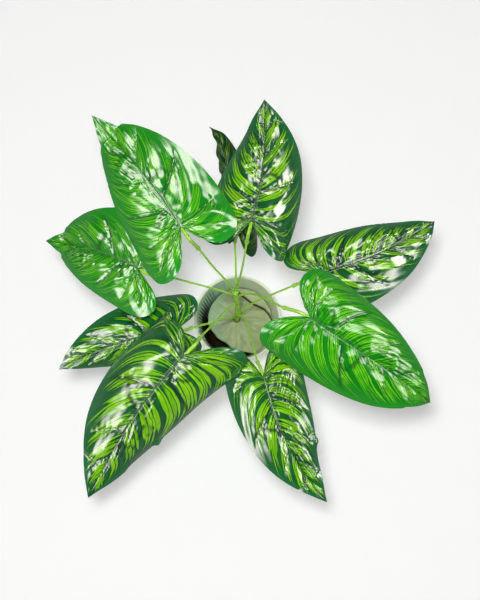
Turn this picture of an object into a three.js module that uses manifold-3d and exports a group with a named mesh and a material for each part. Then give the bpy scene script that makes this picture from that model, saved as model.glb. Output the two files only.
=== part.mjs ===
// A potted zebra alocasia: nine arrow-shaped leaves on slim stalks, which part from
// one short stem that stands in a cast filling in a round tapered pot.
// Millimetres and degrees. +Z is up, the origin is the middle of the pot's underside.
// Every leaf is one waved blade of even thickness. Its stalk ends in a socketed
// sleeve, which bends over below the blade and runs on as the rib under the midrib.

import * as THREE from "three";
import Module from "manifold-3d";

// Pot and filling
const POT_HEIGHT = 120;
const POT_FOOT_RADIUS = 46;
const POT_RIM_RADIUS = 65;
const POT_WALL = 4;
const POT_FLOOR = 8;
const POT_SIDES = 56;
const FILL_TOP = 77;
const FILL_STEP = 34;
const FILL_DOME = 3;
const FILL_BEVEL = 2.4;
const FILL_DOME_INSET = 16;
const FILL_TOE_SHARE = 0.93;
// Reach of the cast lump from the pot's axis, every 30 degrees from +X
const FILL_REACH = [51, 51, 51, 51, 50, 48, 44, 34, 31, 36, 48, 51];
const FILL_SIDES = 48;
const GAP = 0.3;

// Stem and leaf stalks
const STEM_AXIS = [
    [-1, 4, 42],
    [-1, 5, 77],
    [0, 7, 130],
    [-1, 12, 200],
    [-2, 14, 252],
];
const STEM_RADIUS = [5, 3.4];
const STALK_RADIUS = 1.35;
const STALK_ROOT_RADIUS = 2.3;
const STALK_SIDES = 8;

// Sleeve: collar, socket depth, tube, and the rib that it runs out into
const COLLAR_RADIUS = 2.9;
const COLLAR_LENGTH = 5;
const SOCKET_DEPTH = 7;
const SLEEVE_RADIUS = 2.2;
const RIB_END_RADIUS = 0.8;
// Where the sleeve and rib run: x on the midrib, and how much lower than touching it
const RIB_PLACES = [
    [-0.06, 6],
    [0.01, 0.8],
    [0.1, 0],
    [0.22, 0],
    [0.34, 0],
    [0.45, 0],
];

// Blade
const BLADE_THICKNESS = 0.9;
const BLADE_COLUMNS = 24;
const BLADE_ROWS = 5;
const PILLOW_HEIGHT = 2.5;
const MARGIN_WAVES = 3.5;
const MIDRIB_DEPTH = 1.5;
const MIDRIB_SHOULDER = 0.25;
const NOTCH_FADE = 0.1;
const TIP_FADE = 0.25;
const TIP_CREASE = [0.775, 0.825];
const LOBE_END = -0.36;

// Half a blade in units of its length: margin x, margin y and the x on the midrib
// where the side vein to that margin point starts, from the notch round to the tip
const BLADE_OUTLINE = [
    [-0.015, 0.008, 0],
    [-0.12, 0.045, 0],
    [-0.235, 0.11, 0],
    [-0.27, 0.2, 0],
    [-0.2, 0.295, 0],
    [-0.05, 0.335, 0.02],
    [0.13, 0.335, 0.09],
    [0.3, 0.315, 0.19],
    [0.46, 0.275, 0.31],
    [0.61, 0.22, 0.44],
    [0.74, 0.155, 0.58],
    [0.85, 0.09, 0.72],
    [0.94, 0.035, 0.86],
    [1, 0, 1],
];
const BLADE_HALF_WIDTH = 0.335;
const VEIN_BOW = -0.05;

// The main side veins of the left and the right half, with the pillows between them:
// where each leaves the midrib and where it reaches the margin, as shares of the way
// round the half blade
const SIDE_VEINS = [
    [
        [0, 0],
        [0.2, 0.12],
        [0.37, 0.3],
        [0.39, 0.45],
        [0.505, 0.58],
        [0.655, 0.7],
        [0.79, 0.82],
        [0.9, 0.91],
    ],
    [
        [0, 0],
        [0.2, 0.14],
        [0.35, 0.32],
        [0.4, 0.45],
        [0.56, 0.62],
        [0.735, 0.76],
        [0.845, 0.86],
        [0.93, 0.935],
    ],
];

// Each leaf. base is where the stalk meets the blade, and length runs from there to
// the tip. heading turns from +X, pitch is the fall at the base, arch the further
// fall towards the tip, tipBend the bend past the crease, sweep the sideways curve,
// roll and twist the tilt about the midrib. Of a pair, the first is the left half:
// fold is the rise of the half beside the midrib, curl how far it rolls down again,
// droop the fall of the lobe, wide and lobes the shares of the plain half width and
// lobe length, and wave the height of the margin's waves. stalkFrom is the height where
// the stalk leaves the stem, and stalk its way up from there.
const LEAVES = [
    {
        base: [-67, 54, 470], length: 215, heading: 121, pitch: 15, arch: 15, tipBend: -16,
        roll: -9, twist: -13, sweep: 10, fold: [0, 8], curl: [50, 52], droop: [-7, 0],
        wide: [1.06, 0.94], lobes: [0.8, 0.82], wave: [2.5, 2], bright: true,
        stalkFrom: 245, stalk: [[-12, 18, 300], [-32, 29, 365], [-47, 38, 420]],
    },
    {
        base: [-123, 17, 402], length: 195, heading: 147, pitch: 25, arch: 36, tipBend: -23,
        roll: -11, twist: 3, sweep: 17, fold: [7, 15], curl: [51, 27], droop: [20, 16],
        wide: [0.91, 1], lobes: [0.9, 0.86], wave: [1.5, 1.5], bright: true,
        stalkFrom: 235, stalk: [[-30, 15, 275], [-68, 16, 325], [-86, 15, 358]],
    },
    {
        base: [-2, 81, 365], length: 163, heading: 94, pitch: 10, arch: 16, tipBend: -3,
        roll: -5, twist: -5, sweep: 13, fold: [-50, -36], curl: [57, 54], droop: [65, 42],
        wide: [0.97, 0.96], lobes: [0.7, 1.1], wave: [2, 2], bright: false,
        stalkFrom: 245, stalk: [[-2, 31, 285], [-2, 47, 315], [-3, 66, 335]],
    },
    {
        base: [18, 69, 440], length: 194, heading: 76, pitch: 16, arch: 15, tipBend: -14,
        roll: 1, twist: -22, sweep: 17, fold: [1, -1], curl: [47, 72], droop: [1, -3],
        wide: [0.99, 1.13], lobes: [0.78, 0.66], wave: [2, 2.5], bright: false,
        stalkFrom: 250, stalk: [[4, 25, 310], [8, 33, 365], [12, 49, 405]],
    },
    {
        base: [107, 15, 385], length: 192, heading: 17, pitch: 7, arch: 31, tipBend: -7,
        roll: -4, twist: -1, sweep: 23, fold: [0, 4], curl: [57, 65], droop: [43, 62],
        wide: [1, 0.98], lobes: [0.88, 0.72], wave: [1.5, 3], bright: false,
        stalkFrom: 125, stalk: [[21, 8, 200], [48, 6, 285], [72, 6, 345]],
    },
    {
        base: [87, -54, 460], length: 211, heading: -33, pitch: 8, arch: 36, tipBend: 12,
        roll: 0, twist: -3, sweep: 5, fold: [1, 0], curl: [52, 74], droop: [27, 1],
        wide: [1.06, 1.13], lobes: [0.63, 0.7], wave: [1.5, 2], bright: true,
        stalkFrom: 235, stalk: [[17, 4, 300], [37, -17, 375], [57, -36, 425]],
    },
    {
        base: [33, -115, 365], length: 185, heading: -76, pitch: 13, arch: 15, tipBend: -20,
        roll: 0, twist: -10, sweep: 28, fold: [-2, -5], curl: [42, 55], droop: [34, 20],
        wide: [0.91, 0.91], lobes: [0.8, 0.8], wave: [3, 2], bright: false,
        stalkFrom: 125, stalk: [[12, -17, 200], [20, -58, 280], [26, -91, 335]],
    },
    {
        base: [-64, -95, 430], length: 257, heading: -136, pitch: 26, arch: 23, tipBend: -20,
        roll: 1, twist: -25, sweep: 17, fold: [-11, -11], curl: [72, 62], droop: [0, 120],
        wide: [1.08, 1.09], lobes: [0.67, 0.44], wave: [3, 2], bright: false,
        stalkFrom: 190, stalk: [[-11, -6, 250], [-30, -41, 330], [-46, -68, 390]],
    },
    {
        base: [-79, -53, 350], length: 175, heading: -174, pitch: 10, arch: 20, tipBend: 0,
        roll: -1, twist: -12, sweep: 19, fold: [-22, -4], curl: [60, 51], droop: [35, 15],
        wide: [0.88, 1.03], lobes: [0.74, 0.67], wave: [2, 2], bright: false,
        stalkFrom: 95, stalk: [[-15, -10, 180], [-36, -29, 260], [-59, -44, 315]],
    },
];

const LEFT = 1;
const RIGHT = -1;

const wasm = await Module();
wasm.setup();

const potMaterial = new THREE.MeshStandardMaterial({ color: 0x9aae8c, roughness: 0.45, metalness: 0 });
const fillMaterial = new THREE.MeshStandardMaterial({ color: 0x8f9c78, roughness: 0.85, metalness: 0 });
const stalkMaterial = new THREE.MeshStandardMaterial({ color: 0x7fb52c, roughness: 0.4, metalness: 0 });
const brightLeafMaterial = new THREE.MeshStandardMaterial({ color: 0x1f8f2f, roughness: 0.25, metalness: 0 });
const darkLeafMaterial = new THREE.MeshStandardMaterial({ color: 0x14593a, roughness: 0.25, metalness: 0 });

const radians = THREE.MathUtils.degToRad;
const lerp = THREE.MathUtils.lerp;
const smoothstep = THREE.MathUtils.smoothstep;

function vector(point) {
    return new THREE.Vector3(...point);
}

// A geometry from a list of points and a list of triangles of point numbers
function indexedGeometry(points, triangles) {
    const numbers = points.flatMap((point) => point.toArray());
    const geometry = new THREE.BufferGeometry();
    geometry.setAttribute("position", new THREE.Float32BufferAttribute(numbers, 3));
    geometry.setIndex(triangles.flat());
    return geometry;
}

// A closed body from rings of equally many points, closed at both ends on a middle point
function ringBody(startPoint, rings, endPoint) {
    const sides = rings[0].length;
    const points = [startPoint, ...rings.flat(), endPoint];
    const last = points.length - 1;
    const at = (ring, side) => 1 + ring * sides + (side % sides);
    const triangles = [];
    for (let side = 0; side < sides; side += 1) {
        triangles.push([0, at(0, side + 1), at(0, side)]);
        for (let ring = 0; ring < rings.length - 1; ring += 1) {
            triangles.push([at(ring, side), at(ring, side + 1), at(ring + 1, side + 1)]);
            triangles.push([at(ring, side), at(ring + 1, side + 1), at(ring + 1, side)]);
        }
        triangles.push([last, at(rings.length - 1, side), at(rings.length - 1, side + 1)]);
    }
    return indexedGeometry(points, triangles);
}

// A body of round section along a bent path, like a lathe whose axis is the path.
// The profile lists distance along the path and radius, and starts and ends on it.
function bentLathe(path, profile, sides) {
    const frameCount = 240;
    const frames = path.computeFrenetFrames(frameCount, false);
    const length = path.getLength();
    const pointAt = (distance) => path.getPointAt(Math.min(1, distance / length));
    const ringAt = ([distance, radius]) => {
        const share = Math.min(1, distance / length);
        const slot = Math.min(frameCount - 1, Math.floor(share * frameCount));
        const tangent = path.getTangentAt(share);
        const normal = frames.normals[slot].clone().lerp(frames.normals[slot + 1], share * frameCount - slot);
        const across = tangent.clone().cross(normal).normalize();
        normal.crossVectors(across, tangent);
        const centre = pointAt(distance);
        return Array.from({ length: sides }, (_, side) => {
            const angle = (side / sides) * 2 * Math.PI;
            return centre.clone()
                .addScaledVector(normal, radius * Math.cos(angle))
                .addScaledVector(across, radius * Math.sin(angle));
        });
    };
    const first = profile[0];
    const last = profile[profile.length - 1];
    return ringBody(pointAt(first[0]), profile.slice(1, -1).map(ringAt), pointAt(last[0]));
}

function toManifold(geometry) {
    return new wasm.Manifold(new wasm.Mesh({
        numProp: 3,
        vertProperties: new Float32Array(geometry.attributes.position.array),
        triVerts: new Uint32Array(geometry.index.array),
    }));
}

function fromManifold(solid) {
    const mesh = solid.getMesh();
    const geometry = new THREE.BufferGeometry();
    geometry.setAttribute("position", new THREE.BufferAttribute(new Float32Array(mesh.vertProperties), 3));
    geometry.setIndex(Array.from(mesh.triVerts));
    return geometry;
}

// Pot

function potOuterRadius(z) {
    return lerp(POT_FOOT_RADIUS, POT_RIM_RADIUS, z / POT_HEIGHT);
}

function potGeometry() {
    const bevel = 2;
    const lip = POT_WALL / 2;
    const outer = (z) => [potOuterRadius(z), z];
    const inner = (z) => [potOuterRadius(z) - POT_WALL, z];
    const profile = [
        [0, 0],
        [POT_FOOT_RADIUS - bevel, 0],
        outer(bevel),
        outer(POT_HEIGHT / 3),
        outer(POT_HEIGHT * 2 / 3),
        outer(POT_HEIGHT - lip),
        [POT_RIM_RADIUS - 0.3 * lip, POT_HEIGHT - 0.3 * lip],
        [POT_RIM_RADIUS - lip, POT_HEIGHT],
        [POT_RIM_RADIUS - 1.7 * lip, POT_HEIGHT - 0.3 * lip],
        inner(POT_HEIGHT - lip),
        inner(POT_HEIGHT * 2 / 3),
        inner(POT_HEIGHT / 3),
        inner(POT_FLOOR + bevel),
        [potOuterRadius(POT_FLOOR) - POT_WALL - bevel, POT_FLOOR],
        [0, POT_FLOOR],
    ];
    const points = profile.map(([radius, z]) => new THREE.Vector2(radius, z));
    return new THREE.LatheGeometry(points, POT_SIDES).rotateX(Math.PI / 2);
}

// Filling: it fits the pot up to a step, and stands above that as a lump with a cut side

function fillReach(angle) {
    const count = FILL_REACH.length;
    const place = (angle / (2 * Math.PI)) * count;
    const slot = Math.floor(place) % count;
    const share = smoothstep(place - Math.floor(place), 0, 1);
    return lerp(FILL_REACH[slot], FILL_REACH[(slot + 1) % count], share);
}

function fillRing(z, isLump, inset) {
    return Array.from({ length: FILL_SIDES }, (_, side) => {
        const angle = (side / FILL_SIDES) * 2 * Math.PI;
        const wall = (potOuterRadius(z) - POT_WALL - GAP) / Math.cos(Math.PI / FILL_SIDES) - 0.3;
        const radius = isLump ? Math.min(wall, fillReach(angle)) - inset : wall;
        return new THREE.Vector3(radius * Math.cos(angle), radius * Math.sin(angle), z);
    });
}

function fillGeometry() {
    const bottom = POT_FLOOR + GAP;
    const toe = new THREE.Vector3(FILL_TOE_SHARE, FILL_TOE_SHARE, 1);
    const rings = [
        fillRing(bottom, false, 0).map((point) => point.multiply(toe)),
        fillRing(bottom + 2 * FILL_BEVEL, false, 0),
        fillRing(FILL_STEP, false, 0),
        fillRing(FILL_STEP + FILL_BEVEL, true, 0),
        fillRing(FILL_TOP - 3 * FILL_BEVEL, true, 0),
        fillRing(FILL_TOP - FILL_BEVEL, true, FILL_BEVEL / 3),
        fillRing(FILL_TOP, true, FILL_BEVEL),
        fillRing(FILL_TOP + 0.7 * FILL_DOME, true, FILL_DOME_INSET),
    ];
    const body = ringBody(
        new THREE.Vector3(0, 0, bottom),
        rings,
        new THREE.Vector3(0, 0, FILL_TOP + FILL_DOME),
    );
    const hole = bentLathe(stemPath, stemProfile(GAP), 16);
    return fromManifold(toManifold(body).subtract(toManifold(hole)));
}

// Stem and stalks

const stemPath = new THREE.CatmullRomCurve3(STEM_AXIS.map(vector));

function stemPointAtHeight(z) {
    const steps = 400;
    const points = stemPath.getPoints(steps);
    return points.find((point) => point.z >= z) ?? points[steps];
}

// The stem's profile, made wider by an allowance for the hole that it stands in
function stemProfile(allowance) {
    const length = stemPath.getLength();
    const rings = [0, 0.2, 0.4, 0.6, 0.8, 1].map((share) => [
        share * length,
        lerp(STEM_RADIUS[0], STEM_RADIUS[1], share) + allowance,
    ]);
    return [[0, 0], ...rings, [length, 0]];
}

// Points under the midrib, from just behind the blade's base to the end of the rib
function ribPoints(leaf) {
    const midrib = midribPath(leaf, LEFT);
    const steepest = Math.min(0, ...leaf.fold);
    const clear = BLADE_THICKNESS / 2 + 1.5 * GAP;
    return RIB_PLACES.map(([x, lower]) => {
        const { point, normal } = midrib(x);
        const depth = (clear + ribRadius(x)) / Math.cos(radians(steepest)) + lower;
        return point.addScaledVector(normal, -depth);
    });
}

function ribRadius(x) {
    const end = RIB_PLACES[RIB_PLACES.length - 1][0];
    return lerp(SLEEVE_RADIUS, RIB_END_RADIUS, smoothstep(x, 0, end));
}

// The whole way of a stalk: inside the stem, out to the collar and under the blade
function stalkPath(leaf) {
    const root = stemPointAtHeight(leaf.stalkFrom - 16);
    const exit = stemPointAtHeight(leaf.stalkFrom);
    const first = vector(leaf.stalk[0]);
    const outward = first.clone().sub(exit).setZ(0).normalize();
    exit.addScaledVector(outward, 2.5);
    const points = [root, exit, ...leaf.stalk.map(vector), ...ribPoints(leaf)];
    const path = new THREE.CatmullRomCurve3(points, false, "centripetal");
    path.arcLengthDivisions = 600;
    const collarShare = (leaf.stalk.length + 1) / (points.length - 1);
    const lengths = path.getLengths();
    const collar = lengths[Math.round(collarShare * (lengths.length - 1))];
    return { path, collar };
}

function stalkGeometry(leaf) {
    const { path, collar } = stalkPath(leaf);
    const end = collar + SOCKET_DEPTH - GAP;
    const rings = [0, 0.08, 0.16, 0.25, 0.37, 0.5, 0.62, 0.75, 0.85, 0.93, 1].map((share) => [
        share * collar,
        lerp(STALK_ROOT_RADIUS, STALK_RADIUS, Math.min(1, share / 0.25)),
    ]);
    return bentLathe(path, [[0, 0], ...rings, [end, STALK_RADIUS], [end, 0]], STALK_SIDES);
}

function stemsGeometry() {
    const stem = toManifold(bentLathe(stemPath, stemProfile(0), 12));
    const joined = LEAVES.reduce((solid, leaf) => solid.add(toManifold(stalkGeometry(leaf))), stem);
    return fromManifold(joined);
}

function sleeveGeometry(leaf) {
    const { path, collar } = stalkPath(leaf);
    const length = path.getLength();
    const socket = STALK_RADIUS + GAP;
    const steps = 13;
    const start = collar + COLLAR_LENGTH + 1;
    const tube = Array.from({ length: steps + 1 }, (_, step) => {
        const share = step / steps;
        return [lerp(start, length, share), lerp(SLEEVE_RADIUS, RIB_END_RADIUS, smoothstep(share, 0.35, 1))];
    });
    const profile = [
        [collar + SOCKET_DEPTH, 0],
        [collar + SOCKET_DEPTH, socket],
        [collar, socket],
        [collar, COLLAR_RADIUS - 0.4],
        [collar + 0.6, COLLAR_RADIUS],
        [collar + COLLAR_LENGTH, COLLAR_RADIUS],
        ...tube,
        [length, 0],
    ];
    return bentLathe(path, profile, STALK_SIDES);
}

// Blades

// The midrib's position and frame at x, in units of the blade's length. Behind the
// base, at x below 0, it carries the lobe of the given side.
function midribPath(leaf, side) {
    const steps = 136;
    const droop = side === LEFT ? leaf.droop[0] : leaf.droop[1];
    const step = (1 - LOBE_END) / steps;
    const frameAt = (x) => {
        const forward = Math.max(x, 0);
        const creaseShare = smoothstep(x, ...TIP_CREASE);
        const lobeFall = droop * Math.min(x, 0) / 0.3;
        const pitch = radians(leaf.pitch + leaf.arch * forward + leaf.tipBend * creaseShare + lobeFall);
        const heading = radians(leaf.heading + leaf.sweep * forward);
        const roll = radians(leaf.roll + leaf.twist * forward);
        const tangent = new THREE.Vector3(
            Math.cos(heading) * Math.cos(pitch),
            Math.sin(heading) * Math.cos(pitch),
            -Math.sin(pitch),
        );
        const level = new THREE.Vector3(-Math.sin(heading), Math.cos(heading), 0);
        const upright = new THREE.Vector3().crossVectors(tangent, level);
        const across = level.clone().multiplyScalar(Math.cos(roll)).addScaledVector(upright, Math.sin(roll));
        const normal = upright.clone().multiplyScalar(Math.cos(roll)).addScaledVector(level, -Math.sin(roll));
        return { tangent, across, normal };
    };
    const points = [new THREE.Vector3()];
    for (let slot = 0; slot < steps; slot += 1) {
        const { tangent } = frameAt(LOBE_END + (slot + 0.5) * step);
        points.push(points[slot].clone().addScaledVector(tangent, step * leaf.length));
    }
    const onPath = (x) => {
        const place = THREE.MathUtils.clamp((x - LOBE_END) / step, 0, steps - 1e-6);
        const slot = Math.floor(place);
        return points[slot].clone().lerp(points[slot + 1], place - slot);
    };
    const shift = vector(leaf.base).sub(onPath(0));
    return (x) => ({ point: onPath(x).add(shift), ...frameAt(x) });
}

const marginCurve = new THREE.SplineCurve(BLADE_OUTLINE.map(([x, y]) => new THREE.Vector2(x, y)));
const veinStartCurve = new THREE.SplineCurve(BLADE_OUTLINE.map(([, , x]) => new THREE.Vector2(x, 0)));

// Place on the flat half blade: along runs from the notch round to the tip, and
// outward from the midrib to the margin, on the curve that the side veins follow
function flatPlace(along, outward) {
    const margin = marginCurve.getPoint(along);
    const start = new THREE.Vector2(Math.max(0, veinStartCurve.getPoint(along).x), 0);
    const bow = start.clone().add(margin).multiplyScalar(0.5);
    bow.x += VEIN_BOW * margin.y / BLADE_HALF_WIDTH;
    return new THREE.QuadraticBezierCurve(start, bow, margin).getPoint(outward);
}

// Share of the way from one side vein to the next
function pillowShare(half, along, outward) {
    const veins = SIDE_VEINS[half].map(([atMidrib, atMargin]) => lerp(atMidrib, atMargin, outward));
    const next = veins.findIndex((vein) => vein > along);
    return next > 0 ? (along - veins[next - 1]) / (veins[next] - veins[next - 1]) : 0;
}

// Height of the pillows between the side veins, of the margin's waves, and of the
// shoulders on both sides of the sunken midrib. It fades where the half is narrow.
function relief(half, along, outward, waveHeight) {
    const pillow = Math.sin(Math.PI * pillowShare(half, along, outward)) * Math.sin(Math.PI * outward);
    const wave = Math.sin(2 * Math.PI * (MARGIN_WAVES * along + 0.15)) * outward ** 2;
    const shoulder = smoothstep(outward, 0, MIDRIB_SHOULDER);
    const fade = smoothstep(along, 0, NOTCH_FADE) * smoothstep(1 - along, 0, TIP_FADE);
    return fade * (PILLOW_HEIGHT * pillow + waveHeight * wave + MIDRIB_DEPTH * shoulder);
}

// A half rises beside the midrib by its fold and rolls down again along an arc
function foldedPlace(leaf, side, along, outward, midrib) {
    const half = side === LEFT ? 0 : 1;
    const flat = flatPlace(along, outward);
    const { point, across, normal } = midrib(flat.x < 0 ? flat.x * leaf.lobes[half] : flat.x);
    const fold = radians(leaf.fold[half]);
    const curl = radians(leaf.curl[half]);
    const arc = BLADE_HALF_WIDTH * leaf.length / curl;
    const slope = fold - curl * flat.y * leaf.wide[half] / BLADE_HALF_WIDTH;
    const sideways = arc * (Math.sin(fold) - Math.sin(slope));
    const height = relief(half, along, outward, leaf.wave[half]);
    const rise = arc * (Math.cos(slope) - Math.cos(fold)) + height;
    return point.addScaledVector(across, side * sideways).addScaledVector(normal, rise);
}

// One skin over both halves: points that fall together, as along the midrib, are one
function bladeSkin(leaf) {
    const points = [];
    const numbers = new Map();
    const weld = (point) => {
        const key = point.toArray().map((value) => Math.round(value * 1000)).join();
        if (!numbers.has(key)) {
            numbers.set(key, points.length);
            points.push(point);
        }
        return numbers.get(key);
    };
    const triangles = [];
    for (const side of [LEFT, RIGHT]) {
        const midrib = midribPath(leaf, side);
        const place = (column, row) => (
            foldedPlace(leaf, side, column / BLADE_COLUMNS, row / BLADE_ROWS, midrib)
        );
        for (let column = 0; column < BLADE_COLUMNS; column += 1) {
            for (let row = 0; row < BLADE_ROWS; row += 1) {
                const near = weld(place(column, row));
                const ahead = weld(place(column + 1, row));
                const far = weld(place(column + 1, row + 1));
                const outward = weld(place(column, row + 1));
                const pair = [[near, ahead, far], [near, far, outward]];
                triangles.push(...pair.map((corners) => (side === LEFT ? corners : corners.reverse())));
            }
        }
    }
    return { points, triangles: triangles.filter((corners) => new Set(corners).size === 3) };
}

// The skin grown to an even thickness: both faces alike, joined by a wall at the margin
function bladeGeometry(leaf) {
    const { points, triangles } = bladeSkin(leaf);
    const normals = points.map(() => new THREE.Vector3());
    for (const [a, b, c] of triangles) {
        const facing = points[b].clone().sub(points[a]).cross(points[c].clone().sub(points[a]));
        [a, b, c].forEach((corner) => normals[corner].add(facing));
    }
    normals.forEach((normal) => normal.normalize());
    const shifted = (amount) => points.map((point, i) => point.clone().addScaledVector(normals[i], amount));
    const upper = shifted(BLADE_THICKNESS / 2);
    const lower = shifted(-BLADE_THICKNESS / 2);
    const count = points.length;
    const edges = new Set(triangles.flatMap(([a, b, c]) => [`${a},${b}`, `${b},${c}`, `${c},${a}`]));
    const walls = [];
    for (const edge of edges) {
        const [from, to] = edge.split(",").map(Number);
        if (!edges.has(`${to},${from}`)) {
            walls.push([to, from, from + count], [to, from + count, to + count]);
        }
    }
    const underside = triangles.map(([a, b, c]) => [c + count, b + count, a + count]);
    return indexedGeometry([...upper, ...lower], [...triangles, ...underside, ...walls]);
}

// The whole plant in its pot

const plant = new THREE.Group();

function addMesh(name, geometry, material) {
    const mesh = new THREE.Mesh(geometry, material);
    mesh.name = name;
    plant.add(mesh);
}

addMesh("pot", potGeometry(), potMaterial);
addMesh("potting_fill", fillGeometry(), fillMaterial);
addMesh("stems", stemsGeometry(), stalkMaterial);
LEAVES.forEach((leaf, i) => {
    addMesh(`sleeve_${i + 1}`, sleeveGeometry(leaf), stalkMaterial);
    addMesh(`leaf_${i + 1}`, bladeGeometry(leaf), leaf.bright ? brightLeafMaterial : darkLeafMaterial);
});

export default plant;
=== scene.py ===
# Potted zebra alocasia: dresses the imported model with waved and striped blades, round
# stalks and sleeves, a weathered pot and a cast filling, on a pale floor.
# Blender works in metres. The tables are in millimetres and degrees, as in the part's source.

import math

import bmesh
import bpy
import numpy as np
from bpy.props import FloatProperty, FloatVectorProperty, IntProperty, PointerProperty
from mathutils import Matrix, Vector


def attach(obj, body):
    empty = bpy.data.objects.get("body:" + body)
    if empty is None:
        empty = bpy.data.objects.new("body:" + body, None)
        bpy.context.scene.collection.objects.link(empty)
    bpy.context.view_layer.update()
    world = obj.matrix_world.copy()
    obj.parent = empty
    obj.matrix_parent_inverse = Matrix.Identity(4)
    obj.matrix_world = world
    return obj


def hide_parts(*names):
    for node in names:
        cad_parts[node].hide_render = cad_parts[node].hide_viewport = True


bl_info = {
    "name": "Potted zebra alocasia",
    "version": (1, 0, 0),
    "blender": (4, 5, 0),
    "location": "View3D > Sidebar > Alocasia",
    "description": "Builds the blades, stalks, pot, filling and stage of a potted zebra alocasia",
    "category": "Add Mesh",
}

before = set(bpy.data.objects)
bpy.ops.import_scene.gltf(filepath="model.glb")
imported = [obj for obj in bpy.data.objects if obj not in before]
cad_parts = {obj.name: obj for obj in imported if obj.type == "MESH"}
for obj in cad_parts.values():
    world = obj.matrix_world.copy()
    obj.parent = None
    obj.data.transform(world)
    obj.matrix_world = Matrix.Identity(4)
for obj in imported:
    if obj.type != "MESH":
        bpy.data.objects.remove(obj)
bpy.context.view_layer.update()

MM = 0.001
BODY = "root"


def tone(red, green, blue):
    """A screen colour from 0 to 255, as the linear colour that shaders use."""
    shares = [value / 255 for value in (red, green, blue)]
    return tuple(s / 12.92 if s <= 0.04045 else ((s + 0.055) / 1.055) ** 2.4 for s in shares)


# Pot and filling, as in the part's source, but with more sides
POT_HEIGHT = 120
POT_FOOT_RADIUS = 46
POT_RIM_RADIUS = 65
POT_WALL = 4
POT_FLOOR = 8
POT_SIDES = 576
FILL_TOP = 77
FILL_STEP = 34
FILL_BEVEL = 2.4
FILL_DOME = 3
FILL_SIDES = 288
GAP = 0.3
# Radius of the filling above its step, and how far it reaches from the pot's axis every 30
# degrees round from +X. On the left and in front it leaves a pocket open, which is a little
# narrower than in the part's source.
FILL_RADIUS = 51
FILL_REACH = [51, 51, 51, 51, 50, 48, 45, 39, 36, 43, 51, 51]
# How much closer to the wall the filling comes near its top where it has no pocket
FILL_FLARE = 2.4
# Radius of the hole in the filling that the stem's foot stands in
STEM_HOLE = 5.6
# Course of the crevice in the filling's top, where the lump ends against a cove
CREVICE = [(1, 46), (6.8, 41), (19.9, 30.6), (26.2, 26.7), (40.3, 20.6), (48.6, 11.9), (53, 2)]
CREVICE_DEPTH = 4.5
CREVICE_WIDTH = 1.1
# The cove rises away from the crevice by this slope over this width
COVE_SLOPE = 0.45
COVE_WIDTH = 18
# Flutes inside the pot: how many would go all the way round, the arc that has them, in
# degrees round from +X, and the heights between which they show. Each range rises from the
# first number to the second, and fades out from the third to the last.
FLUTES = 72
FLUTED_ARC = (95, 125, 225, 250)
FLUTED_HEIGHTS = (40, 60, 96, 112)
# Seeds of the unevenness of the pot's wall and of the filling's top, its brushed lines and
# its side
POT_SEED, LUMP_SEED, BRUSH_SEED, SIDE_SEED = 5, 11, 12, 13

# Stem and stalks, as in the part's source
STEM_AXIS = [(-1, 4, 42), (-1, 5, 77), (0, 7, 130), (-1, 12, 200), (-2, 14, 252)]
STEM_RADIUS = (5, 3.4)
STALK_RADIUS = 1.35
STALK_ROOT_RADIUS = 2.3
SOCKET_DEPTH = 7
SLEEVE_RADIUS = 2.2
RIB_END_RADIUS = 0.8
RIB_PLACES = [(-0.06, 6), (0.01, 0.8), (0.1, 0), (0.22, 0), (0.34, 0), (0.45, 0)]
BLADE_THICKNESS = 0.9
# Rings along and sides round each of these bodies
STEM_MESH = (130, 24)
STALK_MESH = (60, 14)
SLEEVE_MESH = (44, 18)
# A stalk starts this far down inside the stem, leaves it this far off its axis, and is
# tapered over this share of its length
ROOT_DEPTH = 16
ROOT_OFFSET = 2.5
STALK_TAPER = 0.25
# How much slimmer than the solid the stem is between its knots, and how high and how long
# a knot is, which lies just below the place where its stalk leaves
STEM_WAIST = 0.5
KNOT_HEIGHT = 1.1
KNOT_LENGTH = 3.2
KNOT_DROP = 1.5
# The open end of a sleeve: radius and height of the points up its collar and neck
COLLAR = [(1.9, 0), (2.5, 0.1), (2.85, 0.7), (2.95, 1.7), (2.7, 2.5), (2.6, 3.0), (2.8, 3.8),
          (2.75, 4.8), (2.4, 5.6), (SLEEVE_RADIUS, 6.6)]

# Half a blade in units of its length: margin x, margin y and the x on the midrib
# where the side vein to that margin point starts, from the notch round to the tip
BLADE_OUTLINE = [
    (-0.015, 0.008, 0),
    (-0.12, 0.045, 0),
    (-0.235, 0.11, 0),
    (-0.27, 0.2, 0),
    (-0.2, 0.295, 0),
    (-0.05, 0.335, 0.02),
    (0.13, 0.335, 0.09),
    (0.3, 0.315, 0.19),
    (0.46, 0.275, 0.31),
    (0.61, 0.22, 0.44),
    (0.74, 0.155, 0.58),
    (0.85, 0.09, 0.72),
    (0.94, 0.035, 0.86),
    (1, 0, 1),
]
BLADE_HALF_WIDTH = 0.335
LOBE_END = -0.36
VEIN_BOW = -0.05
TIP_CREASE = (0.792, 0.808)
MARGIN_WAVES = 3.5

# The main side veins of the left and the right half, with the pillows between them:
# where each leaves the midrib and where it reaches the margin, as shares of the way
# round the half blade
SIDE_VEINS = [
    [(0, 0), (0.2, 0.12), (0.37, 0.3), (0.39, 0.45), (0.505, 0.58), (0.655, 0.7), (0.79, 0.82),
     (0.9, 0.91), (1, 1)],
    [(0, 0), (0.2, 0.14), (0.35, 0.32), (0.4, 0.45), (0.56, 0.62), (0.735, 0.76), (0.845, 0.86),
     (0.93, 0.935), (1, 1)],
]
# Where the printed groups of strokes leave the midrib, left half first, how far forward
# they lean on their way to the margin, and how much more they bend near their ends
STROKES = [
    [0.12, 0.2, 0.28, 0.345, 0.405, 0.465, 0.545, 0.63, 0.725, 0.83, 0.925],
    [0.1, 0.18, 0.255, 0.33, 0.405, 0.455, 0.52, 0.6, 0.7, 0.785, 0.88],
]
STROKE_LEAN = (0.06, 0.1)
STROKE_BEND = 0.1
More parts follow.
